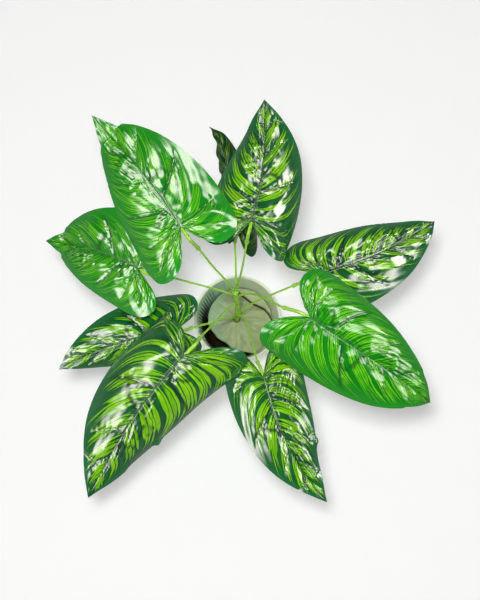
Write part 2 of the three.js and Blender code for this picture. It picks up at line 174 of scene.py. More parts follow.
# Marks of the mould on the left half, as shares of the way round and of the way out: the
# lump in the margin, the round dent and the folds like fingers that run along the blade,
# with the reach of their area both ways and the width of one finger. The crumpled band
# beside the midrib only has a way round.
LUMP, DENT, FINGERS = (0.695, 0.95), (0.65, 0.33), (0.445, 0.46)
FINGERS_REACH = (0.075, 0.22)
FINGER_WIDTH = 0.115
CRUMPLED = (0.43, 0.65)
# In millimetres: reach of the lump, distance between the rings round it and their reach,
# and reach of the dent and radius of its raised rim
LUMP_REACH, RING_GAP, RINGS_REACH = 6.5, 8, 13
DENT_REACH, DENT_RIM = 5, 8
# In both halves the side vein with this number is the sharpest
SHARP_VEIN = 4
# How far forward the fine folds lean, and the seeds of the random relief: the dents, the
# fine folds, the patches that have them, the zigzags beside the veins and the swirls
FOLD_LEAN = 0.1
DENT_SEED, FOLD_SEED, PATCH_SEED, ZIGZAG_SEED, SWIRL_SEED = 21, 50, 70, 90, 11
# The two halves differ in their random relief by this much along its waves
HALVES_APART = 40
# Share of the grid's columns that the lobe takes, and the part of the way round it
LOBE_COLUMNS = (0.25, 0.385)
# The grid's rows stand closer together towards the midrib, by this power
ROW_POWER = 1.5

# Each leaf. base is where the stalk meets the blade, and length runs from there to the
# tip. heading turns from +X, pitch is the fall at the base, arch the further fall towards
# the tip, tip_bend the bend past the crease, sweep the sideways curve, roll and twist the
# tilt about the midrib. Of a pair, the first is the left half: fold is the rise of the half
# beside the midrib, curl how far it rolls down again, droop the fall of the lobe, wide and
# lobes the shares of the plain half width and lobe length, and wave the height of the
# margin's waves. stalk_from is the height where the stalk leaves the stem, and stalk its
# way up from there.
LEAVES = [
    dict(base=(-67, 54, 470), length=215, heading=121, pitch=15, arch=15, tip_bend=-16,
         roll=-9, twist=-13, sweep=10, fold=(0, 8), curl=(50, 52), droop=(-7, 0),
         wide=(1.06, 0.94), lobes=(0.8, 0.82), wave=(2.5, 2), bright=True,
         stalk_from=245, stalk=[(-12, 18, 300), (-32, 29, 365), (-47, 38, 420)]),
    dict(base=(-123, 17, 402), length=195, heading=147, pitch=25, arch=36, tip_bend=-23,
         roll=-11, twist=3, sweep=17, fold=(7, 15), curl=(51, 27), droop=(20, 16),
         wide=(0.91, 1), lobes=(0.9, 0.86), wave=(1.5, 1.5), bright=True,
         stalk_from=235, stalk=[(-30, 15, 275), (-68, 16, 325), (-86, 15, 358)]),
    dict(base=(-2, 81, 365), length=163, heading=94, pitch=10, arch=16, tip_bend=-3,
         roll=-5, twist=-5, sweep=13, fold=(-50, -36), curl=(57, 54), droop=(65, 42),
         wide=(0.97, 0.96), lobes=(0.7, 1.1), wave=(2, 2), bright=False,
         stalk_from=245, stalk=[(-2, 31, 285), (-2, 47, 315), (-3, 66, 335)]),
    dict(base=(18, 69, 440), length=194, heading=76, pitch=16, arch=15, tip_bend=-14,
         roll=1, twist=-22, sweep=17, fold=(1, -1), curl=(47, 72), droop=(1, -3),
         wide=(0.99, 1.13), lobes=(0.78, 0.66), wave=(2, 2.5), bright=False,
         stalk_from=250, stalk=[(4, 25, 310), (8, 33, 365), (12, 49, 405)]),
    dict(base=(107, 15, 385), length=192, heading=17, pitch=7, arch=31, tip_bend=-7,
         roll=-4, twist=-1, sweep=23, fold=(0, 4), curl=(57, 65), droop=(43, 62),
         wide=(1, 0.98), lobes=(0.88, 0.72), wave=(1.5, 3), bright=False,
         stalk_from=125, stalk=[(21, 8, 200), (48, 6, 285), (72, 6, 345)]),
    dict(base=(87, -54, 460), length=211, heading=-33, pitch=8, arch=36, tip_bend=12,
         roll=0, twist=-3, sweep=5, fold=(1, 0), curl=(52, 74), droop=(27, 1),
         wide=(1.06, 1.13), lobes=(0.63, 0.7), wave=(1.5, 2), bright=True,
         stalk_from=235, stalk=[(17, 4, 300), (37, -17, 375), (57, -36, 425)]),
    dict(base=(33, -115, 365), length=185, heading=-76, pitch=13, arch=15, tip_bend=-20,
         roll=0, twist=-10, sweep=28, fold=(-2, -5), curl=(42, 55), droop=(34, 20),
         wide=(0.91, 0.91), lobes=(0.8, 0.8), wave=(3, 2), bright=False,
         stalk_from=125, stalk=[(12, -17, 200), (20, -58, 280), (26, -91, 335)]),
    dict(base=(-64, -95, 430), length=257, heading=-136, pitch=26, arch=23, tip_bend=-20,
         roll=1, twist=-25, sweep=17, fold=(-11, -11), curl=(72, 62), droop=(0, 120),
         wide=(1.08, 1.09), lobes=(0.67, 0.44), wave=(3, 2), bright=False,
         stalk_from=190, stalk=[(-11, -6, 250), (-30, -41, 330), (-46, -68, 390)]),
    dict(base=(-79, -53, 350), length=175, heading=-174, pitch=10, arch=20, tip_bend=0,
         roll=-1, twist=-12, sweep=19, fold=(-22, -4), curl=(60, 51), droop=(35, 15),
         wide=(0.88, 1.03), lobes=(0.74, 0.67), wave=(2, 2), bright=False,
         stalk_from=95, stalk=[(-15, -10, 180), (-36, -29, 260), (-59, -44, 315)]),
]


# Settings

def colour_setting(name, description, *screen_colour):
    """A colour that a user can change, with a screen colour as its default."""
    return FloatVectorProperty(name=name, description=description, subtype="COLOR",
                               default=tone(*screen_colour))


def length_setting(name, description, millimetres):
    """A length that a user can change, with its default in millimetres."""
    return FloatProperty(name=name, description=description, unit="LENGTH",
                         default=millimetres * MM)


class BladeSettings(bpy.types.PropertyGroup):
    """Sizes of the blades' grid and relief."""

    columns: IntProperty(
        name="Columns", description="Faces from the notch round the lobe to the tip",
        default=256, min=24)
    rows: IntProperty(
        name="Rows", description="Faces from the midrib to the margin", default=38, min=5)
    pillow: length_setting("Pillow height", "Height of the swellings between the side veins", 3.4)
    shoulder: length_setting("Shoulder height", "How far the midrib lies below the blade", 1.5)
    groove: length_setting("Midrib groove", "Depth of the narrow groove along the midrib", 0.7)
    crinkle: length_setting("Crinkle height", "Height of the fine folds beside the midrib", 0.25)
    vein: length_setting("Vein depth", "Depth of the sharp creases along the side veins", 0.7)
    dent: length_setting("Dent depth", "Depth of the broad dents in the pillows", 0.3)


class DarkLeafSettings(bpy.types.PropertyGroup):
    """Colours of the blue-green leaves with bold stripes."""

    base: colour_setting("Base", "Colour between the stripes", 24, 102, 50)
    shade: colour_setting("Shade", "Darker colour beside the midrib", 0, 66, 24)
    # Also the colour of the painted shade in the creases
    midrib: colour_setting("Midrib", "Dark line along the midrib", 4, 44, 24)
    margin: colour_setting("Margin", "Paler colour towards the margin", 44, 126, 76)
    rim: colour_setting("Stripe rim", "Colour along the edges of the stripes", 44, 140, 14)
    stripe: colour_setting("Stripe", "Colour of the stripes", 146, 214, 10)


class BrightLeafSettings(bpy.types.PropertyGroup):
    """Colours of the bright green leaves with thin strokes."""

    base: colour_setting("Base", "Colour between the strokes", 24, 146, 30)
    shade: colour_setting("Shade", "Darker colour beside the midrib", 0, 108, 6)
    # Also the colour of the painted shade in the creases
    midrib: colour_setting("Midrib", "Dark line along the midrib", 4, 84, 24)
    margin: colour_setting("Margin", "Paler colour towards the margin", 46, 156, 42)
    rim: colour_setting("Stroke rim", "Colour along the edges of the strokes", 36, 160, 16)
    stripe: colour_setting("Stroke", "Colour of the strokes", 118, 208, 30)


class StalkSettings(bpy.types.PropertyGroup):
    """Colours of the stem, stalks and sleeves."""

    stalk: colour_setting("Stalk", "Colour of the stalks", 168, 230, 58)
    knob: colour_setting("Knob", "Paler colour in patches on stem and collars", 188, 228, 124)
    streak: colour_setting("Streak", "Darker colour in lengthwise streaks", 84, 150, 30)
    # Painted shade in dark rings round the stem
    ring_shade: colour_setting("Scar", "Colour of the dark scars round the stem", 70, 100, 36)


class PotSettings(bpy.types.PropertyGroup):
    """Sizes and colours of the pot and its filling."""

    flute: length_setting("Flute depth", "Depth of the shallow flutes inside the wall", 0.5)
    glaze: colour_setting("Glaze", "Main colour of the pot", 196, 206, 164)
    # Painted cool light, on the left of the pot and of the filling
    teal: colour_setting("Teal glaze", "Cooler colour in the glaze", 168, 214, 190)
    # Also painted light on the inside of the wall on the right
    rim: colour_setting("Rim", "Colour of the worn rim", 238, 247, 218)
    filling: colour_setting("Filling", "Main colour of the cast filling", 168, 180, 134)
    # Painted shade, in brown: deep in the pocket between wall and filling, between the flutes on
    # the left, in the filling's crevice and down its sides
    pocket: colour_setting("Pocket", "Brown dirt deep between wall and filling", 50, 40, 24)
    stain: colour_setting("Stain", "Darker colour brushed into the filling", 114, 122, 80)
    bloom: colour_setting("Bloom", "Paler patches on the filling", 196, 206, 168)


class StageSettings(bpy.types.PropertyGroup):
    """Floor and camera."""

    floor: colour_setting("Floor", "Colour of the floor", 240, 240, 240)
    tooth: colour_setting("Tooth", "Darker colour in the floor's faint grain", 214, 214, 214)
    lens: FloatProperty(
        name="Lens", description="Focal length on a sensor 36 mm long", default=68,
        unit="CAMERA")
    tilt: FloatProperty(
        name="Camera tilt", description="Angle of the view off straight down",
        default=math.radians(10), subtype="ANGLE")


# Curves and rings

def between(start, end, share):
    """The value that lies this share of the way from start to end."""
    return start + (end - start) * share


def smoothstep(value, low, high):
    """Goes smoothly from 0 to 1 as the value goes from low to high."""
    share = np.clip((value - low) / (high - low), 0, 1)
    return share * share * (3 - 2 * share)


def hump(value, start, full, fade, end):
    """Rises from 0 at start to 1 at full, and falls from there at fade to 0 at end."""
    return smoothstep(value, start, full) * smoothstep(value, end, fade)


def bell(value, width):
    """A round bump of height 1 about 0."""
    return np.exp(-(value / width) ** 2)


def cubic(start, end, leave, arrive, t):
    """Points on the curve from start to end that has these directions at its ends."""
    bend = 3 * (end - start) - 2 * leave - arrive
    return start + t * (leave + t * (bend + t * (2 * (start - end) + leave + arrive)))


def spline_rows(table, place):
    """Rows on a smooth curve through the rows of a table, for places from 0 to 1."""
    table = np.asarray(table, float)
    last = len(table) - 1
    place = np.clip(place, 0, 1) * last
    slot = np.minimum(place.astype(int), last - 1)
    before, start, end, after = (table[np.clip(slot + k, 0, last)] for k in (-1, 0, 1, 2))
    return cubic(start, end, (end - before) / 2, (after - start) / 2, (place - slot)[:, None])


def bent_path(points, parts=600):
    """A dense line of equal parameter steps on a centripetal curve through the points."""
    points = np.asarray(points, float)
    points = np.vstack([2 * points[0] - points[1], points, 2 * points[-1] - points[-2]])
    spans = len(points) - 3
    place = np.linspace(0, spans, parts + 1)
    slot = np.minimum(place.astype(int), spans - 1)
    p0, p1, p2, p3 = (points[slot + k] for k in range(4))
    d0, d1, d2 = (np.sqrt(np.linalg.norm(b - a, axis=1))[:, None]
                  for a, b in ((p0, p1), (p1, p2), (p2, p3)))
    leave = d1 * ((p1 - p0) / d0 - (p2 - p0) / (d0 + d1) + (p2 - p1) / d1)
    arrive = d1 * ((p2 - p1) / d1 - (p3 - p1) / (d1 + d2) + (p3 - p2) / d2)
    return cubic(p1, p2, leave, arrive, (place - slot)[:, None])


def distances(line):
    """The distance from the start to each point of a line."""
    return np.concatenate([[0], np.cumsum(np.linalg.norm(np.diff(line, axis=0), axis=1))])


def select_vertices(obj, numbers):
    """In edit mode, selects only the vertices with these numbers."""
    bpy.ops.mesh.select_all(action="DESELECT")
    mesh = bmesh.from_edit_mesh(obj.data)
    mesh.verts.ensure_lookup_table()
    for number in numbers:
        mesh.verts[number].select = True
    mesh.select_flush_mode()
    bmesh.update_edit_mesh(obj.data)


def turned_body(name, profile, sides):
    """A closed round body about Z: a circle, extruded and resized from one point of the
    profile (radius, z) to the next, and drawn together at both ends."""
    bpy.ops.object.select_all(action="DESELECT")
    (_, foot), *rings, (_, top) = [(radius * MM, z * MM) for radius, z in profile]
    radius, z = rings[0]
    bpy.ops.mesh.primitive_circle_add(vertices=sides, radius=radius, location=(0, 0, z))
    obj = bpy.context.object
    obj.name = obj.data.name = name
    bpy.ops.object.transform_apply(location=True, rotation=True, scale=True)
    bpy.ops.object.mode_set(mode="EDIT")
    bpy.ops.mesh.select_all(action="SELECT")
    for next_radius, next_z in rings[1:]:
        bpy.ops.mesh.extrude_region_move(TRANSFORM_OT_translate={"value": (0, 0, next_z - z)})
        size = next_radius / radius
        bpy.ops.transform.resize(value=(size, size, 1), center_override=(0, 0, next_z))
        radius, z = next_radius, next_z
    bpy.ops.mesh.extrude_region_move(TRANSFORM_OT_translate={"value": (0, 0, top - z)})
    bpy.ops.mesh.merge(type="CENTER")
    select_vertices(obj, range(sides))
    move = {"value": (0, 0, foot - rings[0][1])}
    bpy.ops.mesh.extrude_region_move(TRANSFORM_OT_translate=move)
    bpy.ops.mesh.merge(type="CENTER")
    bpy.ops.mesh.select_all(action="SELECT")
    bpy.ops.mesh.normals_make_consistent(inside=False)
    bpy.ops.object.mode_set(mode="OBJECT")
    bpy.ops.object.shade_smooth()
    return obj


def vertex_places(obj):
    """The vertices of a mesh as an array, in millimetres."""
    places = np.zeros(len(obj.data.vertices) * 3)
    obj.data.vertices.foreach_get("co", places)
    return places.reshape(-1, 3) / MM


def place_vertices(obj, places):
    """Moves the vertices of a mesh to an array of places in millimetres."""
    obj.data.vertices.foreach_set("co", (places * MM).astype(np.float32).ravel())
    obj.data.update()


def add_values(obj, name, values):
    """Gives each vertex a value that a material can read by its name."""
    layer = obj.data.attributes.new(name, "FLOAT", "POINT")
    layer.data.foreach_set("value", values.astype(np.float32))


def apply_modifier(obj, kind, **settings):
    """Adds a modifier with these settings to an object and applies it."""
    bpy.ops.object.select_all(action="DESELECT")
    obj.select_set(True)
    bpy.context.view_layer.objects.active = obj
    modifier = obj.modifiers.new(kind.title(), kind)
    for key, value in settings.items():
        setattr(modifier, key, value)
    bpy.ops.object.modifier_apply(modifier=modifier.name)


def bend_along(obj, line):
    """Bends a straight body, which stands on Z from 0 up, along a line of points."""
    curve = bpy.data.curves.new("course", "CURVE")
    curve.dimensions = "3D"
    curve.use_deform_bounds = False
    spline = curve.splines.new("POLY")
    spline.points.add(len(line) - 1)
    spline.points.foreach_set("co", np.c_[line * MM, np.ones(len(line))].ravel())
    course = bpy.data.objects.new("course", curve)
    bpy.context.scene.collection.objects.link(course)
    apply_modifier(obj, "CURVE", object=course, deform_axis="POS_Z")
    bpy.data.objects.remove(course)
    bpy.data.curves.remove(curve)


def finish_piece(obj, slot, node, *materials):
    """Gives a piece its materials and its place in the frame, in the stead of a node."""
    obj.data.materials.clear()
    for material in materials:
        obj.data.materials.append(material)
    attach(obj, BODY)
    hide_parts(node)


def random_waves(first, second, seed, waves, rates):
    """A smooth random height from about -1 to 1 over two coordinates: the sum of this
    number of waves, whose rates lie between the lowest and the highest given."""
    draw = np.random.default_rng(seed)
    total = np.zeros_like(first)
    for _ in range(waves):
        rate = draw.uniform(*rates) * draw.choice([-1, 1], 2)
        total += np.sin(rate[0] * first + rate[1] * second + draw.uniform(0, 2 * math.pi))
    return total / math.sqrt(waves)


# Materials

class Value:
    """An output of a node, which can be used in a formula like a number: each sign in the
    formula adds a Math node."""

    def __init__(self, nodes, socket):
        self.nodes = nodes
        self.socket = socket

    def __add__(self, other):
        return self.nodes.math("ADD", self, other)

    def __sub__(self, other):
        return self.nodes.math("SUBTRACT", self, other)

    def __rsub__(self, other):
        return self.nodes.math("SUBTRACT", other, self)

    def __mul__(self, other):
        return self.nodes.math("MULTIPLY", self, other)

    def __truediv__(self, other):
        return self.nodes.math("DIVIDE", self, other)

    def __pow__(self, other):
        return self.nodes.math("POWER", self, other)

    def __gt__(self, other):
        return self.nodes.math("GREATER_THAN", self, other)

    def __lt__(self, other):
        return self.nodes.math("LESS_THAN", self, other)

    def __abs__(self):
        return self.nodes.math("ABSOLUTE", self)

    __radd__ = __add__
    __rmul__ = __mul__


class Nodes:
    """Adds nodes to a tree and links them. An input is a number, a colour or a Value."""

    def __init__(self, tree):
        self.tree = tree
        tree.nodes.clear()

    def outputs(self, kind, inputs=(), **settings):
        """Adds a node and gives back all its outputs by name."""
        node = self.tree.nodes.new(kind)
        for key, value in settings.items():
            setattr(node, key, value)
        for key, value in dict(inputs).items():
            socket = node.inputs[key]
            if isinstance(value, Value):
                self.tree.links.new(value.socket, socket)
            elif socket.type == "RGBA":
                socket.default_value = (*value[:3], 1)
            else:
                socket.default_value = value
        node.location = (200 * len(self.tree.nodes), 0)
        return node.outputs

    def add(self, kind, inputs=(), output=0, **settings):
        """Adds a node and gives back one output, the first where none is named."""
        return Value(self, self.outputs(kind, inputs, **settings)[output])

    def math(self, operation, first, second=0.0, clamp=False):
        return self.add("ShaderNodeMath", {0: first, 1: second}, operation=operation,
                        use_clamp=clamp)

    def distance(self, x, y):
        """Distance of a point in the plane from the origin."""
        return self.math("SQRT", x * x + y * y)

    def step(self, value, low, high, start=0.0, end=1.0):
        """Goes smoothly from start to end as the value goes from low to high."""
        inputs = {"Value": value, "From Min": low, "From Max": high, "To Min": start,
                  "To Max": end}
        return self.add("ShaderNodeMapRange", inputs, interpolation_type="SMOOTHSTEP")

    def mix(self, share, first, second, blend="MIX"):
        return self.add("ShaderNodeMix", {0: share, 6: first, 7: second}, output=2,
                        data_type="RGBA", blend_type=blend)

    def vector(self, x, y, z):
        return self.add("ShaderNodeCombineXYZ", {0: x, 1: y, 2: z})

    def split(self, vector):
        """The three coordinates of a place."""
        sockets = self.outputs("ShaderNodeSeparateXYZ", {0: vector})
        return [Value(self, socket) for socket in sockets]

    def place(self):
        """Where a point lies, in metres from the middle of the pot's underside."""
        return self.add("ShaderNodeTexCoord", output="Object")

    def noise(self, vector, scale, detail=2.0, roughness=0.5):
        inputs = {"Vector": vector, "Scale": scale, "Detail": detail, "Roughness": roughness}
        return self.add("ShaderNodeTexNoise", inputs)

    def streaks(self, place, slimness, scale, detail, roughness=0.5):
        """Noise that is drawn out along Z: a low slimness makes long streaks."""
        stretched = self.add("ShaderNodeMapping", {"Vector": place, "Scale": (1, 1, slimness)})
        return self.noise(stretched, scale, detail, roughness)

    def values(self, name):
        """The values that add_values gave to the vertices."""
        return self.add("ShaderNodeAttribute", output="Fac", attribute_name=name)

    def chance(self, x, y, z):
        """A random value from 0 to 1, which depends only on these three numbers."""
        return self.add("ShaderNodeTexWhiteNoise", {"Vector": self.vector(x, y, z)},
                        noise_dimensions="3D")

    def curve(self, value, points):
        """A value from 0 to 1 on straight lines through the points."""
        output = self.add("ShaderNodeFloatCurve", {"Value": value})
        mapping = output.socket.node.mapping
        curve = mapping.curves[0]
        for x, y in points[1:-1]:
            curve.points.new(x, y)
        for point, (x, y) in zip(curve.points, points):
            point.location = (x, y)
            point.handle_type = "VECTOR"
        mapping.update()
        return output

    def bump(self, height, distance, strength, normal=None):
        """A normal for this height, on top of the relief of another normal if one is given."""
        inputs = {"Height": height, "Distance": distance, "Strength": strength}
        if normal is not None:
            inputs["Normal"] = normal
        return self.add("ShaderNodeBump", inputs)

    def group(self, tree, inputs):
        """Places a node group and gives back all its outputs."""
        sockets = self.outputs("ShaderNodeGroup", inputs, node_tree=tree)
        return [Value(self, socket) for socket in sockets]


def new_group(name, inputs, outputs):
    """A shader node group, its Nodes and its inputs as Values by name. An input is given
    with its default, or with None if it is a vector. Each output is a number."""
    tree = bpy.data.node_groups.new(name, "ShaderNodeTree")
    for socket, default in inputs.items():
        kind = "NodeSocketVector" if default is None else "NodeSocketFloat"
        made = tree.interface.new_socket(socket, in_out="INPUT", socket_type=kind)
        if default is not None:
            made.default_value = default
    for socket in outputs:
        tree.interface.new_socket(socket, in_out="OUTPUT", socket_type="NodeSocketFloat")
    nodes = Nodes(tree)
    sockets = tree.nodes.new("NodeGroupInput").outputs
    return tree, nodes, {socket: Value(nodes, sockets[socket]) for socket in inputs}


def zebra_group():
    """The print that all blades share: groups of strokes that start in thin feet beside
    the midrib, run together, lean forward and part again into pointed strands. Field is
    above 0 on a strand, Chance differs from strand to strand, and Near is 1 on a group of
    strokes and falls to 0 beside it."""
    tree, n, source = new_group(
        "zebra strokes",
        {"Vein": None, "Strands": 5.0, "Width": 0.32, "Reach": 0.96, "Fullness": 0.9, "Seed": 0.0},
        ["Field", "Chance", "Near"])
    along, signed, _ = n.split(source["Vein"])
    outward = abs(signed)
    left = signed > 0.0
    seed = source["Seed"] + left * 7.3

    # The group that a point belongs to, and how far it lies from the group's middle line
    lean = left * (STROKE_LEAN[0] - STROKE_LEAN[1]) + STROKE_LEAN[1]
    bend = outward * lean + outward ** 3.0 * STROKE_BEND
    level = along - bend * n.step(along, 0.65, 0.98, 1.0, 0.1)
    count = len(STROKES[0]) + 1
    phases = []
    for places in STROKES:
        points = [(place, number / count) for number, place in enumerate(places, start=1)]
        phases.append(n.curve(level, [(0, 0), *points, (1, 1)]) * count)
    phase = left * phases[0] + (1.0 - left) * phases[1]
    drift = n.noise(n.vector(along * 9, outward * 2, seed), scale=1, detail=1)
    phase = phase + (drift - 0.5) * 0.3
    cell = n.math("ROUND", phase)
    fan = n.step(outward, 0.0, 0.4, 0.9, 1.0) + n.step(outward, 0.5, 1.0, 0.0, 0.5)
    sway = n.noise(n.vector(phase * 2, outward * 3, seed), scale=1, detail=1)
    off = (phase - cell) / fan + (sway - 0.5) * 0.12

    # The strand in the group, with its own start and end
    strand = off * source["Strands"]
    uneven = n.noise(n.vector(strand * 0.9, cell, outward * 1.5), scale=1, detail=0)
    strand = strand + (uneven - 0.5) * 1.3
    number = n.math("FLOOR", strand)
    beside = abs(strand - number - 0.5)
    middle = (number + 0.5) / source["Strands"]
    code = cell * 17 + number
    chance = n.chance(code, seed, 0.5)
    widest = source["Width"] * n.step(n.chance(cell, seed, 4.5), 0, 1, 0.8, 1.15)
    share = abs(middle) / widest
    start = n.chance(code, seed, 2.5) * 0.07 - 0.05 + n.step(share, 0.5, 1.0, 0.0, 0.06)
    end = source["Reach"] * n.step(n.chance(code, seed, 8.5), 0, 1, 0.84, 1.1)
    end = end - n.step(share, 0.4, 1.0, 0.0, 0.12)

    # How much of its room the strand fills
    full = n.step(outward - start, -0.1, 0.14) * n.step(end - outward, 0.0, 0.34)
    belly = n.step(outward, 0.1, 0.35) * n.step(outward, 0.75, 0.5)
    full = full * source["Fullness"] * (belly * 0.17 + 0.9) * (share < 1.0)
    full = full * n.step(along, 0.985, 0.92) * n.step(chance, 0, 1, 0.78, 1.05)
    field = n.math("MINIMUM", full * 0.5 - beside, (full - 0.14) * 1.5)
    near = n.step(abs(off) / widest, 0.9, 1.7, 1.0, 0.0)
    target = tree.nodes.new("NodeGroupOutput").inputs
    for name, value in (("Field", field), ("Chance", chance), ("Near", near)):
        tree.links.new(value.socket, target[name])
    return tree


def principled(name, build, ior=1.5):
    """A material: build gets its Nodes and gives back the linked inputs by name."""
    material = bpy.data.materials.new(name)
    material.use_nodes = True
    nodes = Nodes(material.node_tree)
    shader = material.node_tree.nodes.new("ShaderNodeBsdfPrincipled")
    output = material.node_tree.nodes.new("ShaderNodeOutputMaterial")
    material.node_tree.links.new(shader.outputs[0], output.inputs[0])
    shader.inputs["IOR"].default_value = ior
    for key, value in build(nodes).items():
        material.node_tree.links.new(value.socket, shader.inputs[key])
    return material


# How each leaf differs from the shared print and mould: number of strands between two
# groups of strokes, share of that way which they take, how full they are and how strong
# where they are worn. Then, for some, how far the colours are darkened towards near black
# as painted shade (deep), the index of refraction, which sets how strong the gloss is, the
# step of the outline at the tip's crease, the hook of the tip, the ruffle of the left margin
# and the lump in it in millimetres, whether folds like fingers show, how strongly the
# mould's other marks show, and whether the midrib is glossy.
PLAIN_LOOK = dict(deep=0, ior=1.5, step=0, hook=0, ruffle=0, lump=0, fingers=0, marks=1,
                  shine=False)
LEAF_LOOKS = [
    dict(PLAIN_LOOK, strands=8, width=0.42, full=0.68, worn=0.4, step=0.3, shine=True),
    dict(PLAIN_LOOK, strands=8, width=0.4, full=0.66, worn=0.4, step=0.3),
    dict(PLAIN_LOOK, strands=6, width=0.32, full=0.66, worn=0.6, deep=0.65, ior=1.24, hook=8,
         ruffle=1.6),
    dict(PLAIN_LOOK, strands=5.6, width=0.31, full=0.82, worn=0.75),
    dict(PLAIN_LOOK, strands=5.2, width=0.31, full=0.83, worn=0.75, shine=True),
    dict(PLAIN_LOOK, strands=8, width=0.44, full=0.72, worn=0.3, ior=1.38, step=0.12, marks=0.2),
    dict(PLAIN_LOOK, strands=5.6, width=0.34, full=0.84, worn=0.75, lump=3, fingers=1,
         shine=True),
    dict(PLAIN_LOOK, strands=5.2, width=0.34, full=0.87, worn=0.75, lump=3.5),
    dict(PLAIN_LOOK, strands=5.4, width=0.3, full=0.82, worn=0.75),
]
# Seed of the print, the same on all leaves, and the near black of the painted shade
PRINT_SEED = 3.7
PAINTED_SHADE_GREEN = (0, 0.01, 0)


def leaf_ground(n, colours, near, outward, place, brushed):
    """Colour between the strokes: darker close to them and towards the midrib, paler
    towards the margin, brushed along the fine folds, with a dark line on the midrib."""
    cloud = n.noise(place, scale=22, detail=3)
    near = near * n.step(outward, 0.45, 0.95, 0.8, 0.1)
    near = n.math("MAXIMUM", near, n.step(outward, 0.0, 0.3, 0.9, 0.0))
    shade = n.math("MULTIPLY", near, n.step(cloud, 0.35, 0.65, 0.7, 1.0), clamp=True)
    ground = n.mix(shade, colours.base, colours.shade)
    edge = n.step(outward, 0.7, 1.0) * n.step(cloud, 0.3, 0.7, 0.2, 0.5)
    ground = n.mix(edge, ground, colours.margin)
    ground = n.mix(n.step(brushed, 0.45, 0.75, 0.0, 0.3), ground, colours.rim)
    return n.mix(n.step(outward, 0.01, 0.026, 0.9, 0.0), ground, colours.midrib)


def leaf_finish(name, colours, look, zebra, seed):
    """Glossy printed blade: base colour, brushed strokes with rims and worn patches, painted
    shade in the creases, and fine wrinkles, mostly near the midrib. Some leaves have painted shade
    all over."""
    def build(n):
        vein = n.add("ShaderNodeUVMap", uv_map="Vein")
        place = n.place()
        along, signed, _ = n.split(vein)
        outward = abs(signed)
        field, chance, near = n.group(zebra, {
            "Vein": vein, "Strands": look["strands"], "Width": look["width"],
            "Fullness": look["full"], "Seed": PRINT_SEED})
        level = along - outward * FOLD_LEAN
        brushed = n.noise(n.vector(level * 260, outward * 7, 1.5), scale=1, detail=3)
        ground = leaf_ground(n, colours, near, outward, place, brushed)
        colour = n.mix(n.step(field, -0.06, 0.02), ground, colours.rim)
        lime = n.mix(n.step(brushed, 0.4, 0.75, 0.0, 0.55), colours.stripe, colours.rim)
        lime = n.mix(n.step(chance, 0.0, 0.6, 0.4, 0.0), lime, colours.rim)
        worn = n.step(n.noise(place, scale=34, detail=3), 0.36, 0.58, look["worn"], 1.0)
        colour = n.mix(n.step(field, 0.0, 0.08) * worn, colour, lime)
        # Painted shade in the creases of the relief, in the midrib's colour
        colour = n.mix(n.values("crease") * 0.85, colour, colours.midrib)
        # Painted shade: some leaves are darkened towards near black all over
        colour = n.mix(look["deep"], colour, PAINTED_SHADE_GREEN)
        wrinkle = n.noise(n.vector(along * 90, signed * 12, seed), scale=1, detail=2)
        patch = n.step(n.noise(place, scale=26, detail=1), 0.42, 0.6, 0.1, 1.0)
        wrinkled = n.step(outward, 0.04, 0.6, 1.0, 0.05) * patch
        normal = n.bump(wrinkle * wrinkled, 0.45 * MM, 0.6)
        grain = n.noise(place, scale=900, detail=2)
        normal = n.bump(grain, 0.04 * MM, 0.5, normal)
        rough = n.step(n.noise(place, scale=60, detail=2), 0.3, 0.7, 0.08, 0.14)
        if not look["shine"]:
            rough = rough + n.step(outward, 0.01, 0.03, 0.7, 0.0)
        return {"Base Color": colour, "Roughness": rough, "Normal": normal}
    return principled(name, build, look["ior"])


def underside_finish(name, colours):
    """Duller and paler back of a blade, in soft patches."""
    def build(n):
        place = n.place()
        cloud = n.noise(place, scale=30, detail=3)
        pale = n.step(cloud, 0.3, 0.7, 0.25, 0.6)
        return {"Base Color": n.mix(pale, colours.base, colours.stripe),
                "Roughness": n.step(cloud, 0.3, 0.7, 0.38, 0.5),
                "Normal": n.bump(n.noise(place, scale=500, detail=3), 0.1 * MM, 0.5)}
    return principled(name, build)


# Blades

def blade_master(columns, rows):
    """The flat grid that all blades start from, with its two maps: Vein runs from the
    notch round to the tip and from midrib to margin, Flat holds the outline's plane."""
    bpy.ops.object.select_all(action="DESELECT")
    bpy.ops.mesh.primitive_grid_add(x_subdivisions=columns, y_subdivisions=2 * rows, size=1)
    master = bpy.context.object
    master.name = master.data.name = "blade_master"
    grid = vertex_places(master) * MM
    along = np.interp(grid[:, 0] + 0.5, (0, LOBE_COLUMNS[0], 1), (0, LOBE_COLUMNS[1], 1))
    signed = np.sign(grid[:, 1]) * np.abs(2 * grid[:, 1]) ** ROW_POWER
    plane = flat_place(along, np.abs(signed))
    plane[:, 1] *= np.sign(signed)
    corners = np.zeros(len(master.data.loops), int)
    master.data.loops.foreach_get("vertex_index", corners)
    while master.data.uv_layers:
        master.data.uv_layers.remove(master.data.uv_layers[0])
    for name, pair in (("Vein", np.c_[along, signed]), ("Flat", plane)):
        layer = master.data.uv_layers.new(name=name)
        layer.data.foreach_set("uv", pair[corners].astype(np.float32).ravel())
    return master, along, signed


def flat_place(along, outward):
    """Place on the flat half blade, on the curve that the side veins follow."""
    rows = spline_rows(BLADE_OUTLINE, along)
    margin = rows[:, :2]
    start = np.c_[np.maximum(0, rows[:, 2]), np.zeros(len(rows))]
    bow = (start + margin) / 2
    bow[:, 0] += VEIN_BOW * margin[:, 1] / BLADE_HALF_WIDTH
    t = outward[:, None]
    return (1 - t) ** 2 * start + 2 * t * (1 - t) * bow + t ** 2 * margin


